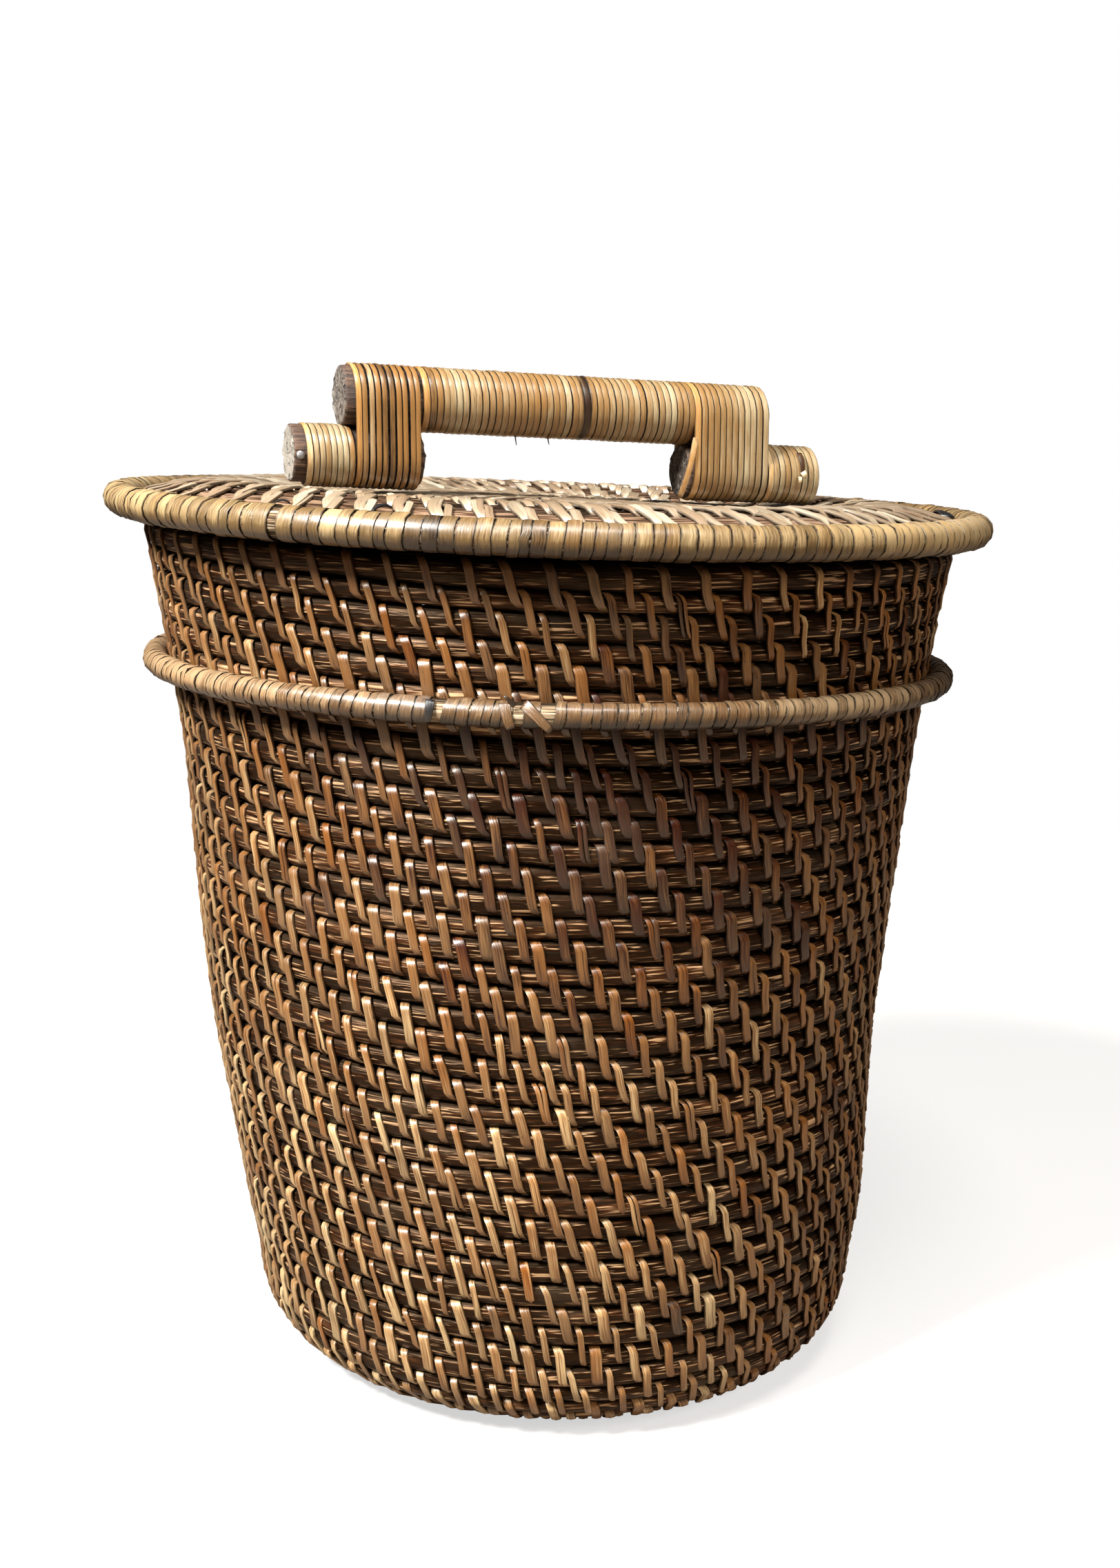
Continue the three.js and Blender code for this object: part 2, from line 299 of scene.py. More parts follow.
# Shader nodes

def tint(red, green, blue):
    """A colour for a shader from display values of 0 to 255."""
    shares = [value / 255 for value in (red, green, blue)]
    return tuple(v / 12.92 if v <= 0.04045 else ((v + 0.055) / 1.055) ** 2.4 for v in shares) + (1,)


class Graph:
    """Adds nodes to a shader tree and wires them; a value may be a number, a colour or a socket."""

    def __init__(self, tree):
        self.tree = tree

    def feed(self, socket, value):
        if isinstance(value, bpy.types.NodeSocket):
            self.tree.links.new(value, socket)
        else:
            socket.default_value = value

    def node(self, kind, settings=(), inputs=()):
        made = self.tree.nodes.new(kind)
        for key, value in dict(settings).items():
            setattr(made, key, value)
        for key, value in dict(inputs).items():
            self.feed(made.inputs[key], value)
        return made

    def math(self, operation, a, b=0.0):
        return self.node("ShaderNodeMath", {"operation": operation}, {0: a, 1: b}).outputs[0]

    def times(self, a, b):
        return self.math("MULTIPLY", a, b)

    def plus(self, a, b):
        return self.math("ADD", a, b)

    def minus(self, a, b):
        return self.math("SUBTRACT", a, b)

    def more(self, value, share, amount):
        """A value raised by an amount of a share."""
        return self.plus(value, self.times(share, amount))

    def less(self, value, share, amount):
        """A value lowered by an amount of a share."""
        return self.minus(value, self.times(share, amount))

    def sway(self, level, noise, amount):
        """A level that rises and falls with a noise, whose middle is a half."""
        return self.more(level, self.minus(noise, 0.5), amount)

    def distance(self, x, y):
        """How far a place is from the centre line."""
        return self.math("SQRT", self.plus(self.times(x, x), self.times(y, y)))

    def mix(self, share, a, b):
        inputs = {0: share, 6: a, 7: b}
        return self.node("ShaderNodeMix", {"data_type": "RGBA"}, inputs).outputs[2]

    def between(self, value, low, high, at_low=0.0, at_high=1.0):
        """A smooth step from one value to another."""
        inputs = {"Value": value, "From Min": low, "From Max": high, "To Min": at_low, "To Max": at_high}
        return self.node("ShaderNodeMapRange", {"interpolation_type": "SMOOTHSTEP"}, inputs).outputs[0]

    def three_tones(self, level, stops, source):
        """Dark up to the first stop, the middle colour at the second and light from the third on."""
        low, middle, high = stops
        colour = self.mix(self.between(level, low, middle), source["Dark"], source["Middle"])
        return self.mix(self.between(level, middle, high), colour, source["Light"])

    def noise(self, vector, w, scale, detail):
        inputs = {"Vector": vector, "W": w, "Scale": scale, "Detail": detail}
        return self.node("ShaderNodeTexNoise", {"noise_dimensions": "4D"}, inputs).outputs[0]

    def vector(self, x, y, z=0.0):
        return self.node("ShaderNodeCombineXYZ", (), {0: x, 1: y, 2: z}).outputs[0]

    def split(self, vector):
        return self.node("ShaderNodeSeparateXYZ", (), {0: vector}).outputs

    def shade(self, colour, brightness, saturation=1.0, hue=0.5):
        inputs = {"Hue": hue, "Saturation": saturation, "Value": brightness, "Color": colour}
        return self.node("ShaderNodeHueSaturation", (), inputs).outputs[0]

    def attribute(self, name):
        return self.node("ShaderNodeAttribute", {"attribute_name": name}).outputs["Fac"]

    def place(self):
        return self.node("ShaderNodeTexCoord").outputs["Object"]


def shader_group(name, inputs, outputs):
    """An empty node group with its sockets; returns its graph, its inputs and its outputs."""
    tree = bpy.data.node_groups.new(name, "ShaderNodeTree")
    kinds = {"colour": "NodeSocketColor", "value": "NodeSocketFloat", "vector": "NodeSocketVector"}
    for label, kind, start in inputs:
        socket = tree.interface.new_socket(label, in_out="INPUT", socket_type=kinds[kind])
        if start is not None:
            socket.default_value = start
    for label, kind in outputs:
        tree.interface.new_socket(label, in_out="OUTPUT", socket_type=kinds[kind])
    source = tree.nodes.new("NodeGroupInput")
    result = tree.nodes.new("NodeGroupOutput")
    return Graph(tree), source.outputs, result.inputs


def make_cane_grain():
    """Split cane: long fine streaks and cracks, blotches, flecks, darker edges, and ends darkened partly by
    painted shade and partly by dirt where they go in between the rods.
    """
    g, source, result = shader_group(
        "cane_grain",
        [("Tone", "value", 0.5), ("Warmth", "value", 0.0), ("Seed", "value", 0.0),
         ("Across", "value", 0.0), ("Length", "value", 0.0), ("End", "value", 0.0),
         ("Streaks", "value", 0.5), ("Edges", "value", 0.35), ("Flecks", "value", 0.4),
         ("Dark", "colour", None), ("Middle", "colour", None), ("Light", "colour", None)],
        [("Color", "colour"), ("Roughness", "value"), ("Height", "value")])
    w = g.times(source["Seed"], 60)

    def marks(across, lengthwise, detail):
        """Marks, so many to half the width and to a millimetre of length."""
        spot = g.vector(g.times(source["Across"], across), g.times(source["Length"], lengthwise))
        return g.noise(spot, w, 1, detail)

    fine = marks(4.5, 0.13, 3)
    broad = marks(0.7, 0.11, 2)
    fleck = g.between(marks(2.2, 0.8, 2), 0.66, 0.76)
    level = g.sway(source["Tone"], fine, source["Streaks"])
    colour = g.three_tones(g.sway(level, broad, 0.55), (0.0, 0.5, 1.0), source)
    edge = g.between(g.math("ABSOLUTE", source["Across"]), 0.72, 1.0)
    crack = g.times(g.between(fine, 0.3, 0.42, 1, 0), source["Streaks"])
    shade = g.less(1, edge, source["Edges"])
    shade = g.less(shade, crack, 0.5)
    # Painted shade and dirt: the ends of a strip, where it goes in between the rods, are darker.
    shade = g.less(shade, source["End"], 0.45)
    shade = g.less(shade, fleck, source["Flecks"])
    hue = g.less(0.5, source["Warmth"], 0.008)
    rich = g.more(1, source["Warmth"], 0.08)
    g.feed(result["Color"], g.shade(colour, shade, rich, hue))
    rough = g.more(g.times(fine, 0.3), fleck, 0.2)
    g.feed(result["Roughness"], g.more(rough, edge, 0.15))
    height = g.more(g.times(fine, 0.7), broad, 0.3)
    g.feed(result["Height"], g.less(height, fleck, 0.2))
    return g.tree


def make_rod_fibre():
    """Peeled rod bent into a ring: fibres run round the ring, with dark pores, pale scuffs and painted
    shade towards the grooves between the rods.
    """
    g, source, result = shader_group(
        "rod_fibre",
        [("Place", "vector", None), ("Tone", "value", 0.5), ("Groove", "value", 0.0),
         ("Dark", "colour", None), ("Middle", "colour", None), ("Light", "colour", None)],
        [("Color", "colour"), ("Roughness", "value"), ("Height", "value")])
    x, y, z = g.split(source["Place"])
    radius = g.distance(x, y)
    cosine = g.math("DIVIDE", x, radius)
    sine = g.math("DIVIDE", y, radius)

    def fibres(round_the_ring, through):
        """Fibres, so many to a radian of the ring and to a metre of the section."""
        spot = g.vector(g.times(cosine, round_the_ring), g.times(sine, round_the_ring), g.times(z, through))
        return g.noise(spot, g.times(radius, through), 1, 2)

    fine = fibres(9, 1250)
    coarse = fibres(7, 700)
    patch = fibres(5, 60)
    pores = g.between(fine, 0.38, 0.46, 1, 0)
    level = g.sway(source["Tone"], coarse, 2.0)
    level = g.sway(level, patch, 0.7)
    colour = g.three_tones(g.sway(level, fine, 1.9), (0.05, 0.55, 1.1), source)
    scuff = g.between(fine, 0.57, 0.66)
    colour = g.mix(g.times(scuff, 0.7), colour, source["Light"])
    # Painted shade: the rod is darkened towards the grooves where it meets its neighbours; the same mask
    # makes it rougher there.
    groove_shade = g.between(source["Groove"], 0.6, 0.97)
    shade = g.times(g.less(1, groove_shade, 0.95), g.less(1, pores, 0.75))
    g.feed(result["Color"], g.shade(colour, shade))
    rough = g.more(g.times(pores, 0.35), groove_shade, 0.3)
    g.feed(result["Roughness"], g.plus(rough, 0.36))
    g.feed(result["Height"], g.more(g.times(fine, 0.65), coarse, 0.35))
    return g.tree


DUST = tint(150, 132, 108)
STAIN = tint(48, 30, 18)


def make_age():
    """Grey dust and brown staining in soft patches, laid over any finish."""
    g, source, result = shader_group(
        "age",
        [("Color", "colour", None), ("Place", "vector", None), ("Dust", "value", 0.2),
         ("Stain", "value", 0.3)],
        [("Color", "colour"), ("Mask", "value")])
    dusty = g.between(g.noise(source["Place"], 3.0, 34, 4), 0.52, 0.72)
    stained = g.between(g.noise(source["Place"], 11.0, 19, 4), 0.52, 0.7)
    dust_share = g.times(dusty, source["Dust"])
    colour = g.mix(dust_share, source["Color"], DUST)
    g.feed(result["Color"], g.mix(g.times(stained, source["Stain"]), colour, STAIN))
    g.feed(result["Mask"], dust_share)
    return g.tree


def make_pole_wood():
    """Weathered pole along X: fibrous bark on the side and torn fibres on the sawn faces."""
    g, source, result = shader_group(
        "pole_wood",
        [("Place", "vector", None), ("Sawn", "value", 0.0), ("Tone", "value", 0.5),
         ("Bark", "colour", None), ("Grey", "colour", None), ("End dark", "colour", None),
         ("End light", "colour", None)],
        [("Color", "colour"), ("Roughness", "value"), ("Height", "value")])
    x, y, z = g.split(source["Place"])
    along = g.times(x, 70)

    def fibres(upwards, w, detail):
        """Fibres along the pole, so many to a metre of height."""
        return g.noise(g.vector(along, g.times(y, 900), g.times(z, upwards)), w, 1, detail)

    bark = fibres(900, 1.0, 3)
    patches = g.noise(source["Place"], 5.0, 160, 3)
    side = g.mix(g.between(bark, 0.35, 0.65), source["Bark"], source["Grey"])
    side = g.mix(g.between(patches, 0.45, 0.6), side, g.shade(side, 0.55))
    grain = fibres(420, 9.0, 4)
    crack = g.between(g.noise(source["Place"], 2.0, 300, 3), 0.36, 0.44, 1, 0)
    level = g.sway(source["Tone"], grain, 1.6)
    end = g.mix(g.between(level, 0.1, 0.9), source["End dark"], source["End light"])
    end = g.shade(end, g.less(1, crack, 0.45))
    g.feed(result["Color"], g.mix(source["Sawn"], side, end))
    g.feed(result["Roughness"], g.more(0.6, bark, 0.3))
    rough_end = g.less(grain, crack, 0.6)
    height = g.more(g.times(bark, g.minus(1, source["Sawn"])), rough_end, source["Sawn"])
    g.feed(result["Height"], height)
    return g.tree


cane_grain = make_cane_grain()
rod_fibre = make_rod_fibre()
age = make_age()
pole_wood = make_pole_wood()


def new_material(name):
    material = bpy.data.materials.new(name)
    material.use_nodes = True
    shader = material.node_tree.nodes["Principled BSDF"]
    return material, Graph(material.node_tree), shader


def set_inputs(shader, values):
    for name, value in values.items():
        shader.inputs[name].default_value = value


def place_group(g, tree, inputs):
    return g.node("ShaderNodeGroup", {"node_tree": tree}, inputs).outputs


def wire(g, shader, colour, roughness, height, bump):
    """Wires colour, roughness and relief into the shader; bump is the relief in millimetres."""
    g.feed(shader.inputs["Base Color"], colour)
    g.feed(shader.inputs["Roughness"], roughness)
    relief = g.node("ShaderNodeBump", (), {"Height": height, "Distance": bump * MM, "Strength": 1.0})
    g.feed(shader.inputs["Normal"], relief.outputs["Normal"])


WARM_SHEEN = tint(255, 206, 160)
PALE_SHEEN = tint(255, 252, 244)
CANE_ROUGHNESS = 0.24
CANE_SPECULAR = 0.65
COAT_ROUGHNESS = 0.25
ROD_SPECULAR = 0.32
# Relief of the rods and poles in millimetres
WOOD_RELIEF = 0.6


def cane_finish(name, dark, middle, light, length, streaks=0.5, edges=0.35, flecks=0.35, dust=0.08,
                stain=0.25, coat=0.35, bump=0.14):
    """Split cane; length is that of one strip in millimetres."""
    material, g, shader = new_material(name)
    share = g.attribute("along")
    # The strip's ends, darkened partly as painted shade and partly as dirt where they go in between the
    # rods.
    ends = g.between(g.math("ABSOLUTE", g.minus(share, 0.5)), 0.4, 0.5)
    grain = place_group(g, cane_grain, {
        "Tone": g.attribute("tone"), "Warmth": g.attribute("warmth"), "Seed": g.attribute("seed"),
        "Across": g.attribute("across"), "Length": g.times(share, length), "End": ends,
        "Streaks": streaks, "Edges": edges, "Flecks": flecks,
        "Dark": tint(*dark), "Middle": tint(*middle), "Light": tint(*light)})
    aged = place_group(g, age, {"Color": grain["Color"], "Place": g.place(), "Dust": dust, "Stain": stain})
    roughness = g.plus(grain["Roughness"], CANE_ROUGHNESS)
    wire(g, shader, aged["Color"], g.plus(roughness, aged["Mask"]), grain["Height"], bump)
    set_inputs(shader, {
        "Specular IOR Level": CANE_SPECULAR, "Specular Tint": PALE_SHEEN,
        "Coat Weight": coat, "Coat Roughness": COAT_ROUGHNESS})
    return material


def rod_finish(name, dark, middle, light):
    """Peeled rod, with painted shade in the grooves between the rods."""
    material, g, shader = new_material(name)
    place = g.place()
    fibre = place_group(g, rod_fibre, {
        "Place": place, "Tone": g.attribute("tone"), "Groove": g.attribute("groove"),
        "Dark": tint(*dark), "Middle": tint(*middle), "Light": tint(*light)})
    aged = place_group(g, age, {"Color": fibre["Color"], "Place": place, "Dust": 0.05, "Stain": 0.3})
    wire(g, shader, aged["Color"], fibre["Roughness"], fibre["Height"], WOOD_RELIEF)
    set_inputs(shader, {"Specular IOR Level": ROD_SPECULAR, "Specular Tint": WARM_SHEEN})
    return material


def pole_finish(name, bark, grey, end_dark, end_light):
    """Weathered pole, grey on the side and fibrous where it is sawn."""
    material, g, shader = new_material(name)
    place = g.place()
    wood = place_group(g, pole_wood, {
        "Place": place, "Sawn": g.attribute("sawn"), "Tone": g.attribute("tone"), "Bark": tint(*bark),
        "Grey": tint(*grey), "End dark": tint(*end_dark), "End light": tint(*end_light)})
    aged = place_group(g, age, {"Color": wood["Color"], "Place": place, "Dust": 0.1, "Stain": 0.25})
    wire(g, shader, aged["Color"], wood["Roughness"], wood["Height"], WOOD_RELIEF)
    return material


wall_cane = cane_finish(
    "wall_cane", (50, 22, 7), (118, 80, 42), (192, 162, 116), 23, streaks=1.0, edges=0.6, flecks=0.7,
    stain=0.4, coat=0.25, bump=0.2)
base_cane = cane_finish("base_cane", (54, 31, 14), (112, 78, 46), (166, 130, 88), 23, coat=0.2)
lid_cane = cane_finish(
    "lid_cane", (72, 46, 30), (132, 111, 87), (182, 168, 145), 22, streaks=0.6, edges=0.6, dust=0.1,
    coat=0.5)
rim_cane = cane_finish(
    "rim_cane", (44, 26, 12), (98, 74, 43), (162, 135, 94), 34, streaks=0.7, edges=0.75, flecks=0.5,
    dust=0.1, stain=0.35, coat=0.25, bump=0.2)
ring_cane = cane_finish(
    "ring_cane", (30, 17, 8), (90, 64, 38), (164, 134, 98), 28, streaks=0.9, edges=0.8, flecks=0.6,
    dust=0.1, stain=0.35, coat=0.45, bump=0.2)
scorched_cane = cane_finish(
    "scorched_cane", (10, 10, 12), (26, 27, 32), (84, 90, 100), 12, streaks=0.9, flecks=0.2)
flange_cane = cane_finish("flange_cane", (40, 22, 10), (88, 54, 30), (140, 98, 60), 30)
handle_cane = cane_finish(
    "handle_cane", (58, 36, 20), (172, 128, 74), (216, 196, 154), 85, streaks=0.45, edges=0.6,
    flecks=0.4, dust=0.06, stain=0.15, coat=0.45, bump=0.08)
wall_rod = rod_finish("wall_rod", (20, 7, 2), (64, 36, 18), (186, 148, 108))
base_rod = rod_finish("base_rod", (40, 19, 7), (94, 60, 33), (156, 118, 78))
lid_rod = rod_finish("lid_rod", (18, 10, 6), (66, 46, 33), (130, 104, 82))
ring_rod = rod_finish("ring_rod", (74, 58, 42), (142, 120, 94), (190, 174, 146))
weathered_pole = pole_finish("weathered_pole", (40, 25, 16), (92, 68, 50), (44, 30, 22), (140, 132, 120))


# Mesh helpers

def mesh_of(bm, name):
    mesh = bpy.data.meshes.new(name)
    bm.to_mesh(mesh)
    bm.free()
    return mesh


def finish_piece(name, mesh, body, slot, material, replaces=()):
    move_points(mesh, settle(points_of(mesh), slot in HANDLE_SLOTS))
    piece = bpy.data.objects.new(name, mesh)
    bpy.context.scene.collection.objects.link(piece)
    mesh.materials.clear()
    mesh.materials.append(material)
    mesh.polygons.foreach_set("use_smooth", [True] * len(mesh.polygons))
    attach(piece, body)
    if replaces:
        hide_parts(*replaces)


def points_of(mesh):
    co = np.empty(len(mesh.vertices) * 3, np.float32)
    mesh.vertices.foreach_get("co", co)
    return co.reshape(-1, 3).astype(float)


def move_points(mesh, co):
    mesh.vertices.foreach_set("co", np.ascontiguousarray(co, np.float32).ravel())
    mesh.update()


def give_attributes(mesh, values):
    for name, value in values.items():
        attribute = mesh.attributes.new(name, "FLOAT", "POINT")
        attribute.data.foreach_set("value", np.ascontiguousarray(value, np.float32).ravel())


def repeated(shape, count, name):
    """One mesh that holds a number of copies of a small shape, one after the other."""
    bm = bmesh.new()
    for _ in range(count):
        bm.from_mesh(shape)
    return mesh_of(bm, name)


def faces_outwards(mesh):
    bm = bmesh.new()
    bm.from_mesh(mesh)
    bmesh.ops.recalc_face_normals(bm, faces=bm.faces)
    bm.to_mesh(mesh)
    bm.free()


def wander(where, step, amount, seed):
    """A smooth random drift along a length."""
    knots = np.random.default_rng(seed).normal(0, amount, int(np.max(where) / step) + 3)
    share = where / step
    cell = np.floor(share).astype(int)
    blend = share - cell
    blend = blend * blend * (3 - 2 * blend)
    return knots[cell] * (1 - blend) + knots[cell + 1] * blend


def from_front(degrees):
    """An angle round the basket, counted to the right from the photographed front."""
    return (FRONT + math.radians(degrees)) % TURN


def near(angles, degrees, reach):
    """One at an angle from the front, falling off smoothly."""
    away = (angles - from_front(degrees) + math.pi) % TURN - math.pi
    return bell(away, 0, math.radians(reach))


# Heights over which the painted shade and the stain of the upper front come in
SHADE_AND_STAIN_HEIGHTS = (140 * MM, 240 * MM)


def upper_shade_and_stain(angle, height):
    """Darker in the upper front and towards the right: partly painted shade under the lid and the ring,
    partly a darker stain.
    """
    return near(angle, 12, 45) * ease(height, *SHADE_AND_STAIN_HEIGHTS)


# Rods

# Radius of the ring that a unit hoop or a unit wrap makes, whose section is 1 in size
UNIT_RADIUS = 10
# How much darker the rods are in the upper front, partly as painted shade and partly as stain, and in the
# lower wall, and the heights between which the lower wall passes into the upper one.
SHADE_AND_STAIN_DARKER = 0.12
LOWER_DARKER = 0.28
LOWER_ENDS = (170 * MM, 270 * MM)


def unit_hoop():
    """A ring of the unit radius and section radius 1, for bending into rods."""
    bm = bmesh.new()
    section = bmesh.ops.create_circle(bm, segments=ROD_SIDES, radius=1)["verts"]
    bmesh.ops.rotate(bm, cent=(0, 0, 0), matrix=Matrix.Rotation(math.pi / 2, 3, "X"), verts=section)
    bmesh.ops.translate(bm, vec=(UNIT_RADIUS, 0, 0), verts=section)
    bmesh.ops.spin(bm, geom=section + bm.edges[:], cent=(0, 0, 0), axis=(0, 0, 1),
                   angle=TURN, steps=ROD_STEPS, use_merge=True)
    return mesh_of(bm, "hoop")


def level_hoop(radius, height, thick):
    """A hoop that lies level and has a round section."""
    return radius, height, 0, thick, thick


def rods(name, hoops, body, slot, material, replaces=(), tones=(0.1, 0.75), rough=1.0, touching=False):
    """Rods bent into rings. A hoop is its radius, height, tilt, half height and half thickness. Rods
    that touch their neighbours do so behind the middle, so that the grooves in front are deep."""
    shape = unit_hoop()
    base = points_of(shape)
    angle = np.arctan2(base[:, 1], base[:, 0])
    thick = np.hypot(base[:, 0], base[:, 1]) - UNIT_RADIUS
    tall = base[:, 2]
    groove = abs(tall)
    flat = np.sign(thick) * abs(thick) ** (ROD_FLATNESS if touching else 1)
    if touching:
        tall = tall * (TOUCHING_FRONT + TOUCHING_BACK * ease(-thick, -0.3, 0.4))
    places = []
    tone = []
    for radius, height, tilt, half_tall, half_thick in hoops:
        seed = rng.integers(1 << 30)
        arc = (angle + math.pi) * radius
        meet = np.minimum(1, (TURN * radius - arc) / ROD_FADES)
        out = wander(arc, *ROD_OUT, seed) * rough * meet
        up = wander(arc, *ROD_UP, seed + 1) * rough * meet
        fat = 1 + wander(arc, *ROD_FAT, seed + 2) * rough * meet
        u = flat * half_thick * fat
        v = tall * half_tall * fat
        r = radius + out + u * math.cos(tilt) + v * math.sin(tilt)
        z = height + up - u * math.sin(tilt) + v * math.cos(tilt)
        places.append(np.stack([r * np.cos(angle), r * np.sin(angle), z], -1))
        own = rng.uniform(*tones) + wander(arc, *ROD_TONE, seed + 3) * meet
        # Partly painted shade under the lid and the ring, partly stain, in the upper front
        own = own - SHADE_AND_STAIN_DARKER * upper_shade_and_stain(angle, height)
        tone.append(own - LOWER_DARKER * (1 - ease(height, *LOWER_ENDS)))
    mesh = repeated(shape, len(hoops), name)
    bpy.data.meshes.remove(shape)
    move_points(mesh, np.concatenate(places))
    give_attributes(mesh, {"tone": np.concatenate(tone), "groove": np.tile(groove, len(hoops))})
    faces_outwards(mesh)
    finish_piece(name, mesh, body, slot, material, replaces)


def hoops_of(surface, course_at, first, last):
    """The rods of a stretch of courses."""
    hoops = []
    for course in range(first, last):
        start, end = float(course_at(course)), float(course_at(course + 1))
        s = np.array([(start + end) / 2 - MM, (start + end) / 2 + MM])
        (r0, r1), (z0, z1) = surface(s, np.array([ROD_DEPTH] * 2))
        tilt = math.atan2(r1 - r0, z1 - z0)
        hoops.append(((r0 + r1) / 2, (z0 + z1) / 2, tilt, (end - start - ROD_GAP) / 2, ROD_HALF_THICK))
    return hoops


# Cane stitches

# Corners of split cane: share of the half width, and of the thickness. Wound cane lies flat.
CANE_RIDGE = 0.88
CANE_SECTION = ((-1.0, 0.0), (-CANE_RIDGE, 0.72), (0.0, 1.0), (CANE_RIDGE, 0.72), (1.0, 0.0))
WOUND_RIDGE = 0.94
WOUND_HEIGHT = 0.8
WOUND_SECTION = (
    (-1.0, 0.0), (-WOUND_RIDGE, WOUND_HEIGHT), (0.0, 1.0), (WOUND_RIDGE, WOUND_HEIGHT), (1.0, 0.0))
CORNERS = len(CANE_SECTION)


def shaped_corner(x, y, section=CANE_SECTION):
    """The corner of the cane that a corner of a regular outline stands for."""
    corner = round(math.atan2(x, y) / (TURN / CORNERS)) % CORNERS
    return section[(corner + CORNERS // 2) % CORNERS]


def crisp_edges(bm, on_ridge):
    """Marks the edges that run along the two ridges of the cane as sharp."""
    for edge in bm.edges:
        edge.smooth = not all(on_ridge(vert) for vert in edge.verts)


def unit_strip(steps):
    """A straight strip of cane from 0 to 1 along Z, half widths along X and thickness along Y."""
    bm = bmesh.new()
    bmesh.ops.create_cone(bm, cap_ends=True, cap_tris=False, segments=CORNERS, radius1=1, radius2=1,
                          depth=1)
    lengthwise = [edge for edge in bm.edges if abs(edge.verts[0].co.z - edge.verts[1].co.z) > 0.5]
    bmesh.ops.subdivide_edges(bm, edges=lengthwise, cuts=steps - 1, use_grid_fill=False)
    for vert in bm.verts:
        across, up = shaped_corner(vert.co.x, vert.co.y)
        vert.co = Vector((across, up, vert.co.z + 0.5))
    crisp_edges(bm, lambda vert: abs(abs(vert.co.x) - CANE_RIDGE) < 0.01)
    return mesh_of(bm, "strip")


def stitch_places(first, last, course_at, surface, spacing, shift):
    """Angles of the stitches of every course. A course takes the places of the one before it,
    shifted round; where two come too far apart, a new stitch goes in between."""
    rows = []
    places = None
    for course in range(first, last):
        radius = float(surface(float(course_at(course + 1)), 0.0)[0])
        if places is None:
            count = max(FEWEST_STITCHES, round(TURN * radius / spacing))
            places = (np.arange(count) + rng.uniform(-0.1, 0.1, count)) * TURN / count
        else:
            places = np.sort((places + shift / radius) % TURN)
            gaps = np.diff(np.append(places, places[0] + TURN))
            wide = gaps * radius > spacing * rng.uniform(*WIDEST_GAP, len(gaps))
            places = np.sort(np.append(places, (places + gaps / 2)[wide]) % TURN)
            before = np.append(places[-1] - TURN, places[:-1])
            after = np.append(places[1:], places[0] + TURN)
            places = (1 - 2 * EVENING) * places + EVENING * (before + after)
        rows.append(np.sort((places + rng.normal(0, STITCH_SCATTER, len(places)) / radius) % TURN))
    return rows


def laid_out(rows, first, course_at, surface, slant, inside):
    """Course, angle and sideways run of every stitch of a stretch of courses."""
    course, angle, lean = [], [], []
    for i, row in enumerate(rows):
        gaps = np.diff(np.append(row, row[0] + TURN))
        radius = float(surface(float(course_at(first + i + 1)), 0.0)[0])
        course.append(np.full(len(row), first + i))
        angle.append(row + gaps / 2 + BACK_SHIFT * slant / radius if inside else row)
        lean.append(slant - gaps * radius if inside else np.full(len(row), slant))
    return [np.concatenate(part) for part in (course, angle, lean)]


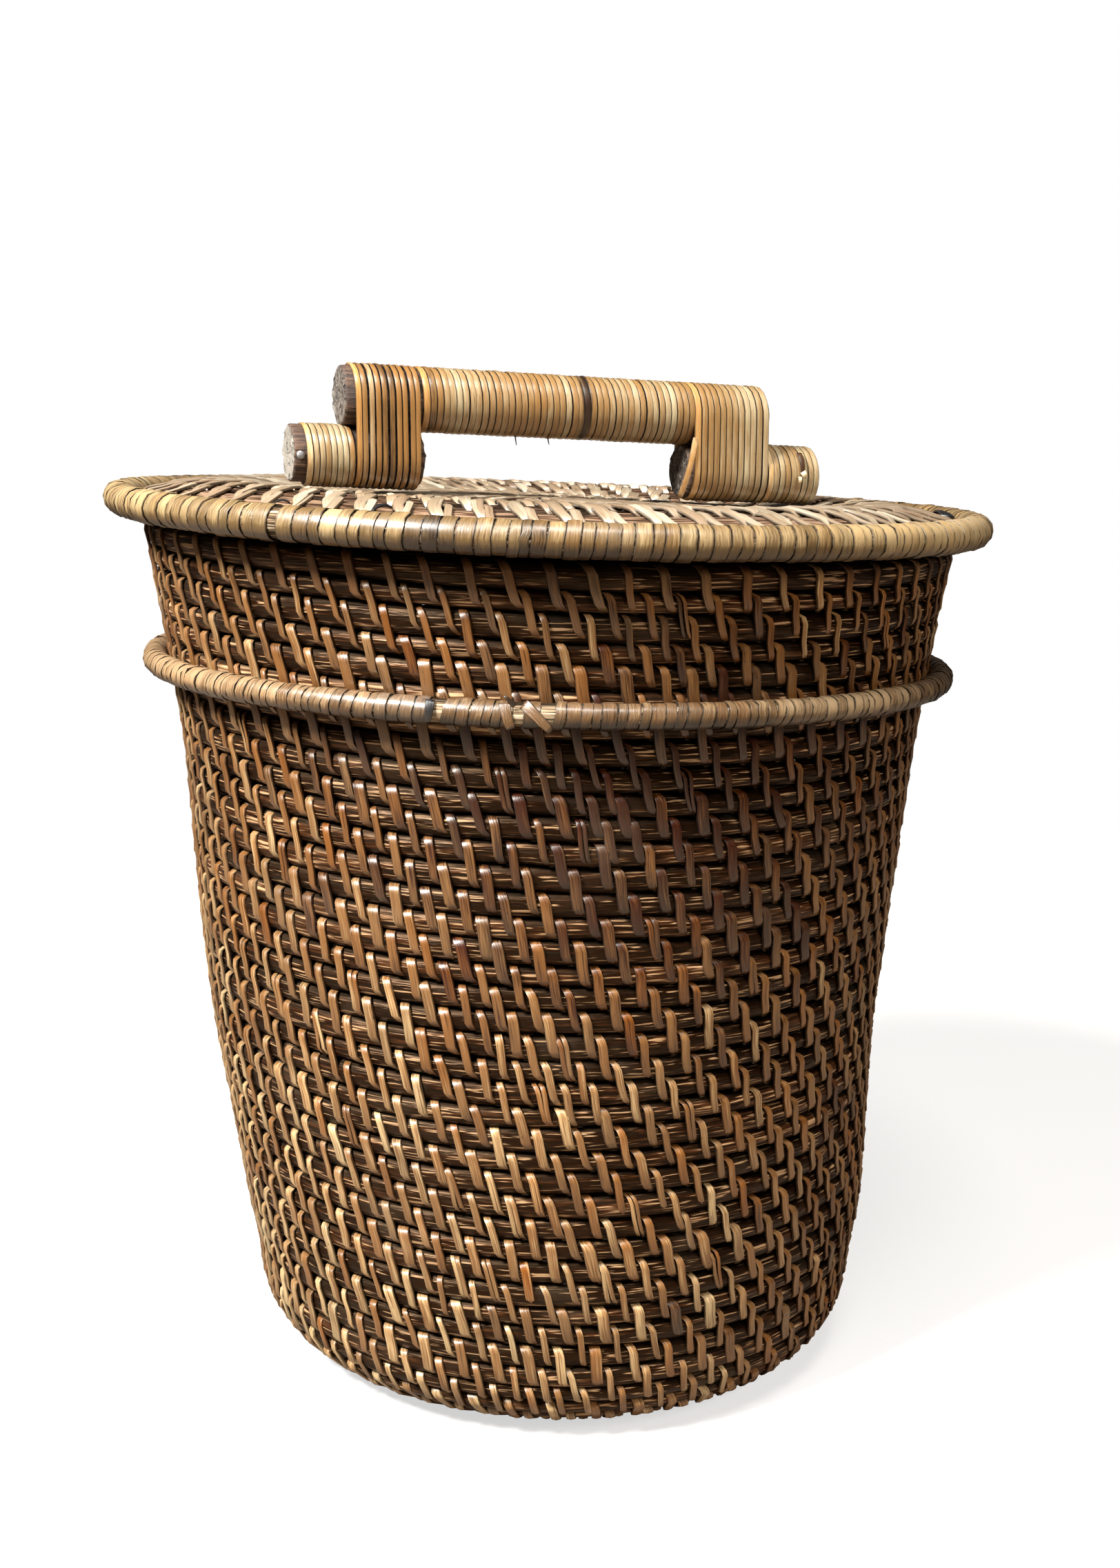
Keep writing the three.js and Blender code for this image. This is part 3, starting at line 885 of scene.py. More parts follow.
def stitches(name, rows, first, course_at, surface, body, slot, material, tones, inside=False,
             outwards=False, width=CANE_WIDTH, slant=STITCH_SLANT, proud=0.0, dive=1.0):
    """Cane over two neighbouring rods, from the upper gap to the lower one and drifting to the right,
    or on the back of the work from one stitch to the next. On the lid the outer gap is the lower."""
    course, angle, lean = laid_out(rows, first, course_at, surface, slant, inside)
    course_width = np.random.default_rng(7).choice(COURSE_WIDTHS, BODY_COURSES + 1)[course]
    half = width / 2 * course_width * rng.uniform(1 - STRIP_SPREAD, 1 + STRIP_SPREAD, len(angle))
    split = rng.random(len(angle)) < SPLIT_SHARE
    turn_by = np.where(split, -SPLIT_APART, 0.0)
    half = np.where(split, half / 2, half)
    course, lean, half = (np.append(part, part[split]) for part in (course, lean, half))
    turn_by = np.append(turn_by, -turn_by[split])
    angle = np.append(angle, angle[split])
    count = len(angle)
    lean = lean * rng.normal(1, BACK_SLANT_SPREAD if inside else SLANT_SPREAD, count)
    hook = rng.uniform(*HOOK, count)
    thick = CANE_THICKNESS * rng.uniform(*STRIP_THICK, count)
    lift = rng.uniform(*STRIP_LIFT, count) * MM + proud

    strip = unit_strip(STITCH_STEPS)
    base = points_of(strip)
    along = base[None, :, 2]
    station = np.round(base[:, 2] * STITCH_STEPS).astype(int)
    share = np.array(STITCH_PLACES)[station][None]
    depth = np.array(STITCH_DEPTHS)[station][None] * dive * MM
    begin, middle, end = (course_at(course + later)[:, None] for later in (0, 1, 2))
    if not outwards:
        begin, end = end, begin
    s = np.where(share < 1, begin + (middle - begin) * share, middle + (end - middle) * (share - 1))
    # A strip narrows towards its ends, where it goes in between the rods.
    narrow = 1.02 - 0.25 * along ** 3 - 0.08 * (1 - along) ** 4
    across = base[None, :, 0] * half[:, None] * narrow
    drift = (1 - hook[:, None]) * along + hook[:, None] * along ** 2
    drift = drift - ((1 - hook) * 0.5 + hook * 0.25)[:, None]
    below = depth + CANE_THICKNESS - base[None, :, 1] * thick[:, None] - lift[:, None] * (depth < MM)
    radius, height = surface(s, below)
    sideways = across + lean[:, None] * drift + turn_by[:, None]
    turn = angle[:, None] + sideways / np.maximum(radius, TIGHTEST)
    co = np.stack([radius * np.cos(turn), radius * np.sin(turn), height], -1).reshape(-1, 3)
    mesh = repeated(strip, count, name)
    bpy.data.meshes.remove(strip)
    move_points(mesh, co)
    tone, warmth = tones(angle, height.mean(1))
    size = len(base)
    give_attributes(mesh, {
        "tone": np.repeat(tone, size), "warmth": np.repeat(warmth, size),
        "seed": np.repeat(rng.uniform(0, 1, count), size),
        "across": np.tile(base[:, 0], count), "along": np.tile(base[:, 2], count)})
    faces_outwards(mesh)
    finish_piece(name, mesh, body, slot, material)


# Cane wraps round a rod

WRAP_STEPS = 14
# How wraps vary: how far they stand off the rod in millimetres, how much their lean and thickness
# differ, how deep their dents and how crooked their edges are, and how much shade is painted on their
# undersides.
WRAP_LIFT = (-0.2, 0.25)
WRAP_LEAN_SPREAD = 0.25
WRAP_THICK = (0.85, 1.1)
WRAP_DENTS = 0.13 * MM
WRAP_CROOKED = 0.16 * MM
WRAP_SHADE_BELOW = 0.48
# Share of its room that a wrap fills
WRAP_FILLS = 0.98


def unit_wrap():
    """A closed band round the Y axis at the unit radius, half a width along Y, one thickness high."""
    bm = bmesh.new()
    section = bmesh.ops.create_circle(bm, segments=CORNERS, radius=1)["verts"]
    for vert in section:
        across, up = shaped_corner(vert.co.x, vert.co.y, WOUND_SECTION)
        vert.co = Vector((UNIT_RADIUS + up, across, 0))
    bmesh.ops.spin(bm, geom=section + bm.edges[:], cent=(0, 0, 0), axis=(0, -1, 0),
                   angle=TURN, steps=WRAP_STEPS, use_merge=True)
    crisp_edges(bm, lambda vert: abs(abs(vert.co.y) - WOUND_RIDGE) < 0.01)
    return mesh_of(bm, "wrap")


def round_section(radius):
    """Places round a rod's section, out from its middle."""
    def section(angle, up):
        return (radius + up) * np.cos(angle), (radius + up) * np.sin(angle)
    return section


def stacked_section(radius, half_rise):
    """Places round two rods that lie one on the other."""
    def section(angle, up):
        lift = half_rise * np.tanh(3 * np.sin(angle))
        return (radius + up) * np.cos(angle), (radius + up) * np.sin(angle) + lift
    return section


def wraps(name, ring_radius, ring_height, section, angles, widths, body, slot, material, tones,
          lean=1.6 * MM, thickness=CANE_THICKNESS):
    """Bands of cane laid side by side round a rod that is bent into a ring."""
    shape = unit_wrap()
    base = points_of(shape)
    count = len(angles)
    section_angle = np.arctan2(base[:, 2], base[:, 0])[None]
    up = (np.hypot(base[:, 0], base[:, 2]) - UNIT_RADIUS)[None]
    across = base[None, :, 1]
    lift = rng.uniform(*WRAP_LIFT, count)[:, None] * MM
    tilt = lean * rng.normal(1, WRAP_LEAN_SPREAD, count)[:, None]
    thick = thickness * rng.uniform(*WRAP_THICK, count)[:, None]
    step = np.round((section_angle[0] % TURN) / TURN * WRAP_STEPS).astype(int) % WRAP_STEPS
    dents = rng.normal(0, WRAP_DENTS, (count, WRAP_STEPS))[:, step]
    out, rise = section(section_angle, up * thick + lift + dents)
    radius = ring_radius + out
    sideways = across * widths[:, None] / 2 + tilt * np.sin(section_angle)
    sideways = sideways + rng.normal(0, WRAP_CROOKED, (count, WRAP_STEPS))[:, step]
    turn = angles[:, None] + sideways / ring_radius
    co = np.stack([radius * np.cos(turn), radius * np.sin(turn), ring_height + rise], -1).reshape(-1, 3)
    mesh = repeated(shape, count, name)
    bpy.data.meshes.remove(shape)
    move_points(mesh, co)
    tone, warmth = tones(angles)
    size = len(base)
    share = 0.5 + 0.38 * np.sin(section_angle[0] / 2)
    # Painted shade: the underside of each wrap is darker, facing away from the lamps above.
    shade_below = WRAP_SHADE_BELOW * ease(-np.sin(section_angle[0]), -0.1, 0.85)
    give_attributes(mesh, {
        "tone": np.repeat(tone, size) - np.tile(shade_below, count), "warmth": np.repeat(warmth, size),
        "seed": np.repeat(rng.uniform(0, 1, count), size),
        "across": np.tile(across[0], count), "along": np.tile(share, count)})
    faces_outwards(mesh)
    finish_piece(name, mesh, body, slot, material)


def side_by_side(ring_radius, width, spread, left_out=()):
    """Angles and widths of wraps that fill a ring; left_out are angles without a wrap."""
    count = round(TURN * ring_radius / width)
    shares = rng.uniform(1 - spread, 1 + spread, count)
    widths = shares / shares.sum() * TURN * ring_radius
    ends = np.cumsum(widths) / ring_radius
    angles = ends - widths / ring_radius / 2
    kept = np.ones(count, bool)
    for low, high in left_out:
        kept &= (angles < low) | (angles > high)
    return angles[kept], widths[kept] * WRAP_FILLS


# Finish of the strips, by where they lie; tones go from 0 for dark to 1 for light

def wall_tones(angle, height):
    """Darker towards the mouth and under the ring, partly painted shade and partly stain in the upper
    front, with painted light on the left and painted shade low on the right.
    """
    count = len(angle)
    share = np.clip(height / mouth_low.z, 0, 1)
    left = np.cos(angle - from_front(-60))
    # Painted light: a little lighter on the left, the side that the key lamp lights.
    tone = 0.58 - 0.12 * share ** 1.3 + 0.06 * left + rng.normal(0, 0.11, count)
    under_ring = near(angle, 30, 50) * bell(height, 275 * MM, 30 * MM)
    # Partly painted shade under the lid and the ring, partly stain, in the upper front, less just below the
    # mouth
    shade_and_stain = (0.46 - 0.32 * ease(height, 280 * MM, 310 * MM)) * upper_shade_and_stain(angle, height)
    # Painted shade: darker low on the right, away from the key lamp.
    shade_low_right = near(angle, 62, 32) * (1 - ease(height, 120 * MM, 220 * MM))
    tone = tone - 0.1 * under_ring - shade_and_stain - 0.14 * shade_low_right
    warmth = rng.normal(0.3 * share, 0.45, count)
    return np.clip(tone, 0, 1), warmth


def even_tones(middle, spread, warmth):
    """Tones that are alike wherever the strips lie."""
    def tones(angle, *_):
        count = len(angle)
        return np.clip(rng.normal(middle, spread, count), 0, 1), rng.normal(warmth, 0.4, count)
    return tones


lid_tones = even_tones(0.56, 0.13, -0.1)
hidden_tones = even_tones(0.42, 0.12, 0.1)
flange_tones = even_tones(0.45, 0.16, 0.3)


# Body

WALL_ROD_TONES = (0.05, 0.62)
LASHINGS = (("base", 0, 10), ("foot", 10, 17), ("lower", 17, 28), ("middle", 28, 39), ("upper", 39, 49))
STEEPER_SLANTS = {"upper": 8.2 * MM, "middle": 7 * MM}

rods("base_rods", hoops_of(outline, body_course, 0, BASE_COURSES), "basket", "base_rattan", base_rod,
     ("base_coils",), touching=True)
for band, first, last in BANDS:
    slot = "dark_rattan" if band == "upper" else "golden_rattan"
    rods(band + "_rods", hoops_of(outline, body_course, first, last), "basket", slot, wall_rod,
         ("wall_" + band + "_courses",), WALL_ROD_TONES, touching=True)

body_rows = stitch_places(0, BODY_COURSES, body_course, outline, STITCH_SPACING, -STITCH_SHIFT)
for band, first, last in LASHINGS:
    rows = body_rows[first:last]
    slot = {"base": "base_rattan", "upper": "dark_rattan"}.get(band, "golden_rattan")
    finish = base_cane if band == "base" else wall_cane
    slant = STEEPER_SLANTS.get(band, STITCH_SLANT)
    stitches(band + "_lashing", rows, first, body_course, outline, "basket", slot, finish, wall_tones,
             slant=slant)
    stitches(band + "_inside_lashing", rows, first, body_course, inside_outline, "basket", slot, base_cane,
             hidden_tones, inside=True)

rods("mouth_rod", hoops_of(outline, body_course, BODY_COURSES, BODY_COURSES + 1), "basket",
     "dark_rattan", wall_rod, ("mouth_coil",), touching=True)


# Belly ring, with its broken stretches

FLAT_CANE = 0.6 * MM
RING_CORE = RING_ROD_RADIUS - FLAT_CANE
RING_WRAP_WIDTH = 4.3 * MM
BROKEN = [(from_front(low), from_front(high)) for low, high in ((-12.9, -11.7), (-4, -1.6), (-0.7, 0.6))]


def ring_tones(angles):
    """Darker and greener towards the right, with painted highlights on the left and on a stretch to the
    right, and one scorched wrap.
    """
    count = len(angles)
    right = 0.5 + 0.5 * np.cos(angles - from_front(75))
    tone = 0.8 - 0.45 * right + rng.normal(0, 0.06, count)
    scorched = 0.75 * near(angles, -13.7, 0.8)
    # Painted highlights: lighter on the left, towards the key lamp, and on a stretch to the right.
    tone = tone - scorched + 0.14 * near(angles, -55, 25) + 0.55 * near(angles, 44, 17)
    return np.clip(tone, 0, 1), rng.normal(0.3, 0.25, count) - 0.9 * right


rods("belly_ring_rod", [level_hoop(RING_RADIUS, RING_HEIGHT, RING_CORE)], "basket", "pale_cane",
     ring_rod, ("belly_ring",), (0.7, 0.8), rough=0.15)
angles, widths = side_by_side(RING_RADIUS, RING_WRAP_WIDTH, 0.3, BROKEN)
wraps("belly_ring_wraps", RING_RADIUS, RING_HEIGHT, round_section(RING_CORE), angles, widths, "basket",
      "pale_cane", ring_cane, ring_tones, lean=0.9 * MM, thickness=FLAT_CANE)


# Lid

LID_STITCH_SPACING = 14.2 * MM
LID_STITCH_SHIFT = 6.6 * MM
RIM_CORE = RIM_ROD_RADIUS - FLAT_CANE
RIM_WRAP_WIDTH = 4.9 * MM
# Where a wrap of the rim is missing, in degrees from the front, and how much wider its neighbours are
MISSING_WRAP = -30.3
CLOSED_UP = 1.1 * MM
# A thin rod that fills the gap between the rim and the panel
EDGE_ROD_RADIUS = 1.9 * MM
EDGE_RING_RADIUS = RIM_RADIUS - 7.2 * MM

rods("lid_centre_rods", hoops_of(lid_outline, lid_course, 0, LID_CENTRE_COURSES), "lid", "lid_rattan",
     lid_rod, ("lid_centre_coils",), touching=True)
rods("lid_outer_rods", hoops_of(lid_outline, lid_course, LID_CENTRE_COURSES, LID_COURSES), "lid",
     "lid_rattan", lid_rod, ("lid_outer_coils",), touching=True)
lid_rows = stitch_places(0, LID_COURSES - 1, lid_course, lid_outline, LID_STITCH_SPACING, LID_STITCH_SHIFT)
stitches("lid_top_lashing", lid_rows, 0, lid_course, lid_outline, "lid", "lid_rattan", lid_cane, lid_tones,
         outwards=True, width=4.5 * MM, slant=10 * MM, proud=0.45 * MM, dive=0.5)
stitches("lid_underside_lashing", lid_rows, 0, lid_course, lid_underside, "lid", "lid_rattan", base_cane,
         hidden_tones, inside=True, outwards=True, slant=6.5 * MM)


def rim_tones(angles):
    """Painted highlights at the far left and towards the right, with three dark wraps in front."""
    count = len(angles)
    dark = near(angles, -12.8, 2.4)
    # Painted highlights: lighter at the far left, towards the key lamp, and towards the right.
    tone = 0.605 + rng.normal(0, 0.1, count) - 0.5 * dark + 0.38 * near(angles, -74, 28)
    tone = tone + 0.5 * near(angles, 54, 20)
    return np.clip(tone, 0, 1), rng.normal(-0.2, 0.3, count) - 0.5 * dark


rods("lid_rim_rod", [level_hoop(RIM_RADIUS, RIM_HEIGHT, RIM_CORE)], "lid", "pale_cane", ring_rod,
     ("lid_rim",), (0.0, 0.3), rough=0.15)
angles, widths = side_by_side(RIM_RADIUS, RIM_WRAP_WIDTH, 0.34)
missing = np.argmin(abs(angles - from_front(MISSING_WRAP)))
for beside, way in ((missing - 1, 1), (missing + 1, -1)):
    widths[beside] += CLOSED_UP
    angles[beside] += way * CLOSED_UP / 2 / RIM_RADIUS
angles, widths = np.delete(angles, missing), np.delete(widths, missing)
rods("lid_edge_rod", [level_hoop(EDGE_RING_RADIUS, RIM_HEIGHT, EDGE_ROD_RADIUS)], "lid", "lid_rattan",
     lid_rod, ("lid_rim",), (0.0, 0.3), rough=0.15)
wraps("lid_rim_wraps", RIM_RADIUS, RIM_HEIGHT, round_section(RIM_CORE), angles, widths, "lid",
      "pale_cane", rim_cane, rim_tones, lean=0.7 * MM, thickness=FLAT_CANE)

# The locating ring under the lid: two rods, one on the other, with cane round both
FLANGE_ROD = 3.1 * MM
FLANGE_STRIP = 3.8 * MM
FLANGE_STRIP_SPACING = 12.5 * MM
FLANGE_HALF, FLANGE_HEIGHT = section_of("lid_flange")
FLANGE_RADIUS = box_of("lid_flange")[1].x - FLANGE_ROD - CANE_THICKNESS
FLANGE_RISE = FLANGE_HALF - FLANGE_ROD - CANE_THICKNESS
flange_hoops = [level_hoop(FLANGE_RADIUS, FLANGE_HEIGHT + side * FLANGE_RISE, FLANGE_ROD)
                for side in (-1, 1)]
rods("lid_flange_rods", flange_hoops, "lid", "dark_rattan", wall_rod, ("lid_flange",), rough=0.5)
angles, widths = side_by_side(FLANGE_RADIUS, FLANGE_STRIP_SPACING, 0.1)
wraps("lid_flange_lashing", FLANGE_RADIUS, FLANGE_HEIGHT, stacked_section(FLANGE_ROD, FLANGE_RISE), angles,
      np.full(len(angles), FLANGE_STRIP), "lid", "dark_rattan", flange_cane, flange_tones, lean=2.5 * MM)


# Handle poles

POLE_SIDES = 40
POLE_CUTS = 24
POLE_PLAY = 0.25 * MM
POLE_CHAMFER = 1.0 * MM
WORN_BAR_END = 4.5 * MM
# Shares of the radius between the rings of points on a sawn face
SAWN_RINGS = (0.02, 0.25, 0.25, 0.2)
SAWN_ROUGH = 0.28 * MM
# Knots and a slow wave of the bark: how high they are, how far apart in radians round the pole the
# knots lie, and how fast the wave runs along it and round it.
KNOTS = 0.35 * MM
KNOTS_APART = 0.5
BARK_WAVE = 0.15 * MM
WAVE_ALONG = 260
WAVE_ROUND = 3
# Points closer than this are in one place.
SAME_PLACE = 0.01 * MM


def pole(name, low, high, height, radius, chamfer_low, chamfer_high, tone, replaces):
    """A crooked pole along X with sawn, split ends."""
    bm = bmesh.new()
    bmesh.ops.create_cone(bm, cap_ends=True, cap_tris=False, segments=POLE_SIDES, radius1=radius,
                          radius2=radius, depth=high - low)
    lie_down = Matrix.Translation(((low + high) / 2, 0, height)) @ Matrix.Rotation(math.pi / 2, 4, "Y")
    bmesh.ops.transform(bm, matrix=lie_down, verts=bm.verts)
    lengthwise = [edge for edge in bm.edges if abs(edge.verts[0].co.x - edge.verts[1].co.x) > radius]
    bmesh.ops.subdivide_edges(bm, edges=lengthwise, cuts=POLE_CUTS, use_grid_fill=False)
    for end, chamfer in ((low, chamfer_low), (high, chamfer_high)):
        rim = [edge for edge in bm.edges if len(edge.link_faces) == 2
               and all(abs(vert.co.x - end) < SAME_PLACE for vert in edge.verts)]
        bmesh.ops.bevel(bm, geom=rim, offset=chamfer, offset_type="OFFSET", affect="EDGES",
                        segments=3, profile=0.5, material=-1)
        face = max((f for f in bm.faces if abs(f.calc_center_median().x - end) < SAME_PLACE),
                   key=lambda f: f.calc_area())
        for inset in SAWN_RINGS:
            bmesh.ops.inset_individual(bm, faces=[face], thickness=inset * radius, depth=0)
        bmesh.ops.poke(bm, faces=[face])
    bmesh.ops.recalc_face_normals(bm, faces=bm.faces)
    mesh = mesh_of(bm, name)
    co = points_of(mesh)
    sawn = np.minimum(abs(co[:, 0] - low), abs(co[:, 0] - high)) < SAME_PLACE
    dice = np.random.default_rng(len(name))
    angle = np.arctan2(co[:, 2] - height, co[:, 1])
    away = np.hypot(co[:, 1], co[:, 2] - height)
    bark = wander((angle + math.pi) % TURN, KNOTS_APART, KNOTS, len(name) + 1)
    bark = bark + BARK_WAVE * np.sin(co[:, 0] * WAVE_ALONG + WAVE_ROUND * angle)
    swell = 1 + np.where(away > 0.9 * radius, bark / radius, 0)
    co[:, 1] *= swell
    co[:, 2] = height + (co[:, 2] - height) * swell
    co[:, 0] += np.where(sawn, dice.normal(0, SAWN_ROUGH, len(co)), 0)
    move_points(mesh, co)
    give_attributes(mesh, {"sawn": sawn, "tone": np.full(len(co), tone)})
    finish_piece(name, mesh, "lid", "weathered_pole", weathered_pole, replaces)


pole("handle_pole", bar_low.x, bar_high.x, BAR_HEIGHT, BAR_RADIUS - POLE_PLAY, POLE_CHAMFER,
     WORN_BAR_END, 0.4, ("handle_bar",))
# The right stub's outer end is worn back.
for word, tone, worn in (("left", 0.85, 0), ("right", 0.3, 1.4 * MM)):
    low, high = box_of("handle_stub_" + word)
    pole("stub_pole_" + word, low.x, high.x - worn, STUB_HEIGHT, STUB_RADIUS - POLE_PLAY, POLE_CHAMFER,
         POLE_CHAMFER + worn, tone, ("handle_stub_" + word,))


# Handle windings

LOOP_STEPS = 20
TALL_LOOP_STEPS = 28
HANDLE_CANE_THICKNESS = 1.1 * MM
# How far the cane stands off the poles, and how much more its tall loops do
OFF_POLE = 0.1 * MM
TALL_LOOP_EASE = 0.15 * MM
# How much the loops rise and fall along the winding, and over how many turns they do so and shift
LOOP_LIFT = 0.09 * MM
LIFT_TURNS = 0.37
SHIFT_TURNS = 0.5


def racetrack(angle, out, stub_reach, bar_reach):
    """Places round the stub and the bar above it: half a turn round each, and straight sides."""
    rise = BAR_HEIGHT - STUB_HEIGHT
    total = math.pi * (stub_reach + bar_reach) + 2 * rise
    went = (angle % TURN) / TURN * total
    first = math.pi * stub_reach
    second = first + rise
    third = second + math.pi * bar_reach
    below = -math.pi + went / stub_reach
    above = (went - second) / bar_reach
    up_share = np.clip((went - first) / rise, 0, 1)
    down_share = np.clip((went - third) / rise, 0, 1)
    y = np.select(
        [went < first, went < second, went < third],
        [(stub_reach + out) * np.cos(below),
         stub_reach + (bar_reach - stub_reach) * up_share + out,
         (bar_reach + out) * np.cos(above)],
        -(bar_reach + (stub_reach - bar_reach) * down_share) - out)
    z = np.select(
        [went < first, went < second, went < third],
        [STUB_HEIGHT + (stub_reach + out) * np.sin(below),
         STUB_HEIGHT + rise * up_share,
         BAR_HEIGHT + (bar_reach + out) * np.sin(above)],
        BAR_HEIGHT - rise * down_share)
    return y, z


def handle_tones(x, went, seed):
    """Straw yellow on the right, redder and darker on the left leg, paler on the left stub, and one
    dark brown loop in the middle."""
    tone = 0.62 + wander(went, 0.9, 0.09, seed + 2) + wander(went, 4.0, 0.06, seed + 3)
    dark = bell(x, 12 * MM, 1.9 * MM)
    left = np.clip(-(x + 52 * MM) / (5 * MM), 0, 1)
    stub = ease(-x, 87 * MM, 92 * MM)
    leg = left * (1 - stub)
    tone = tone - 0.95 * dark - leg * (0.22 + wander(went, 0.8, 0.12, seed + 5)) + 0.16 * stub
    warmth = -0.2 - 2.0 * x + 0.5 * leg - 0.5 * stub + wander(went, 1.3, 0.25, seed + 4)
    return np.clip(tone, 0, 1), warmth


def winding(name, ends, turns, height, radius, replaces, both_poles=False, gap=0.04 * MM,
            uneven=0.11 * MM):
    """Cane wound in one unbroken run round a pole: one loop is spun, repeated and welded."""
    low, high = ends
    pitch = (high - low) / (turns + 1)
    width = pitch - gap
    begin = low + pitch / 2
    bm = bmesh.new()
    section = bmesh.ops.create_circle(bm, segments=CORNERS, radius=1)["verts"]
    for vert in section:
        across, up = shaped_corner(vert.co.x, vert.co.y, WOUND_SECTION)
        vert.co = Vector((begin + across * width / 2, radius + up * HANDLE_CANE_THICKNESS, 0))
    steps = TALL_LOOP_STEPS if both_poles else LOOP_STEPS
    bmesh.ops.spin(bm, geom=section + bm.edges[:], cent=(0, 0, 0), axis=(1, 0, 0),
                   dvec=(pitch / steps, 0, 0), angle=TURN, steps=steps)
    ridge = radius + WOUND_HEIGHT * HANDLE_CANE_THICKNESS
    crisp_edges(bm, lambda vert: abs(vert.co.yz.length - ridge) < SAME_PLACE)
    loop = mesh_of(bm, "loop")
    loop_size = len(loop.vertices)
    bm = bmesh.new()
    for turn in range(turns):
        bm.from_mesh(loop)
        bm.verts.ensure_lookup_table()
        fresh = bm.verts[turn * loop_size:]
        bmesh.ops.translate(bm, vec=(turn * pitch, 0, 0), verts=fresh)
    bmesh.ops.remove_doubles(bm, verts=bm.verts, dist=SAME_PLACE)
    open_edges = [edge for edge in bm.edges if len(edge.link_faces) == 1]
    bmesh.ops.holes_fill(bm, edges=open_edges, sides=0)
    bmesh.ops.recalc_face_normals(bm, faces=bm.faces)
    bpy.data.meshes.remove(loop)
    mesh = mesh_of(bm, name)
    co = points_of(mesh)
    angle = np.arctan2(co[:, 2], co[:, 1]) % TURN
    out = np.hypot(co[:, 1], co[:, 2]) - radius
    went = np.clip(np.round((co[:, 0] - begin) / pitch - angle / TURN) + angle / TURN, 0, turns)
    across = (co[:, 0] - begin - went * pitch) / (width / 2)
    seed = len(name) * 7
    co[:, 0] += wander(went, SHIFT_TURNS, uneven, seed)
    out = out + wander(went, LIFT_TURNS, LOOP_LIFT, seed + 1) + OFF_POLE
    if both_poles:
        co[:, 1], co[:, 2] = racetrack(
            angle + math.pi, out, STUB_RADIUS + TALL_LOOP_EASE, BAR_RADIUS + TALL_LOOP_EASE)
    else:
        co[:, 1] = (radius + out) * np.cos(angle)
        co[:, 2] = height + (radius + out) * np.sin(angle)
    move_points(mesh, co)
    tone, warmth = handle_tones(co[:, 0], went, seed)
    give_attributes(mesh, {
        "tone": tone, "warmth": warmth, "seed": np.full(len(co), 0.137 * (len(name) % 7)),
        "across": np.clip(across, -1, 1), "along": went})
    finish_piece(name, mesh, "lid", "handle_cane", handle_cane, (replaces,))


# How far the windings stop short of the ends of the poles. The one on the right stub runs past its
# end, and those beside the legs run on a little under the windings of the legs.
BARE_BAR_END = 2.6 * MM
BARE_STUB_END = 4 * MM
BARE_LEFT_LEG = 0.3 * MM
BARE_RIGHT_LEG = 0.6 * MM
PAST_RIGHT_STUB = 0.4 * MM
TUCK = 2.2 * MM
LEFT_LEG = (bar_low.x + BARE_BAR_END, left_stub_high.x - BARE_LEFT_LEG)
RIGHT_LEG = (right_stub_low.x + BARE_RIGHT_LEG, bar_high.x - BARE_RIGHT_LEG)
BETWEEN_LEGS = (LEFT_LEG[1] - TUCK, RIGHT_LEG[0] + TUCK)
LEFT_STUB = (left_stub_low.x + BARE_STUB_END, LEFT_LEG[0] + TUCK)
RIGHT_STUB = (RIGHT_LEG[1] - TUCK, right_stub_high.x + PAST_RIGHT_STUB)

winding("bar_cane", BETWEEN_LEGS, 43, BAR_HEIGHT, BAR_RADIUS, "bar_winding")
winding("leg_cane_left", LEFT_LEG, 10, STUB_HEIGHT, STUB_RADIUS, "leg_winding_left", True,
        gap=0.45 * MM, uneven=0.24 * MM)
winding("leg_cane_right", RIGHT_LEG, 12, STUB_HEIGHT, STUB_RADIUS, "leg_winding_right", True)
winding("stub_cane_left", LEFT_STUB, 8, STUB_HEIGHT, STUB_RADIUS, "stub_winding_left")
winding("stub_cane_right", RIGHT_STUB, 9, STUB_HEIGHT, STUB_RADIUS, "stub_winding_right")


# Loose ends: a strand at the right leg, a worn place with two broken ends on the right stub, splinters
# under the bar, the torn strips of the belly ring, three scorched strips on the lid, the ties that hold
# the stubs from below the lid, and a tack in the left stub

STRAND_STEPS = 10
STRAND_THICKNESS = 0.9 * MM
STRAND_WARMTH = 0.2
STRAND_SEED = 0.37
HANDLE_STRAND = ("lid", "handle_cane", handle_cane)
RING_STRAND = ("basket", "pale_cane", ring_cane)
SCORCHED_ON_RING = ("basket", "pale_cane", scorched_cane)
SCORCHED_ON_LID = ("lid", "lid_rattan", scorched_cane)


def strand(name, start, turn, end, facing, width, kind, tone, thins=0.5):
    """A strip of cane that bends from start to end towards a turning point; it thins out at the end.
    Its kind is the body that it rides on, its slot and its finish."""
    start, turn, end, facing = (np.array(v, float) for v in (start, turn, end, facing))
    mesh = unit_strip(STRAND_STEPS)
    base = points_of(mesh)
    t = base[:, 2:3]
    middle = start * (1 - t) ** 2 + 2 * turn * t * (1 - t) + end * t ** 2
    run = (turn - start) * (1 - t) + (end - turn) * t
    side = np.cross(run, facing)
    side = side / np.linalg.norm(side, axis=1, keepdims=True)
    half = width / 2 * (1 - thins * t ** 2)
    thick = min(width / 3, STRAND_THICKNESS)
    move_points(mesh, middle + side * base[:, 0:1] * half + facing * base[:, 1:2] * thick)
    mesh.name = name
    give_attributes(mesh, {
        "tone": np.full(len(base), tone), "warmth": np.full(len(base), STRAND_WARMTH),
        "seed": np.full(len(base), STRAND_SEED), "across": base[:, 0], "along": base[:, 2]})
    faces_outwards(mesh)
    finish_piece(name, mesh, *kind)


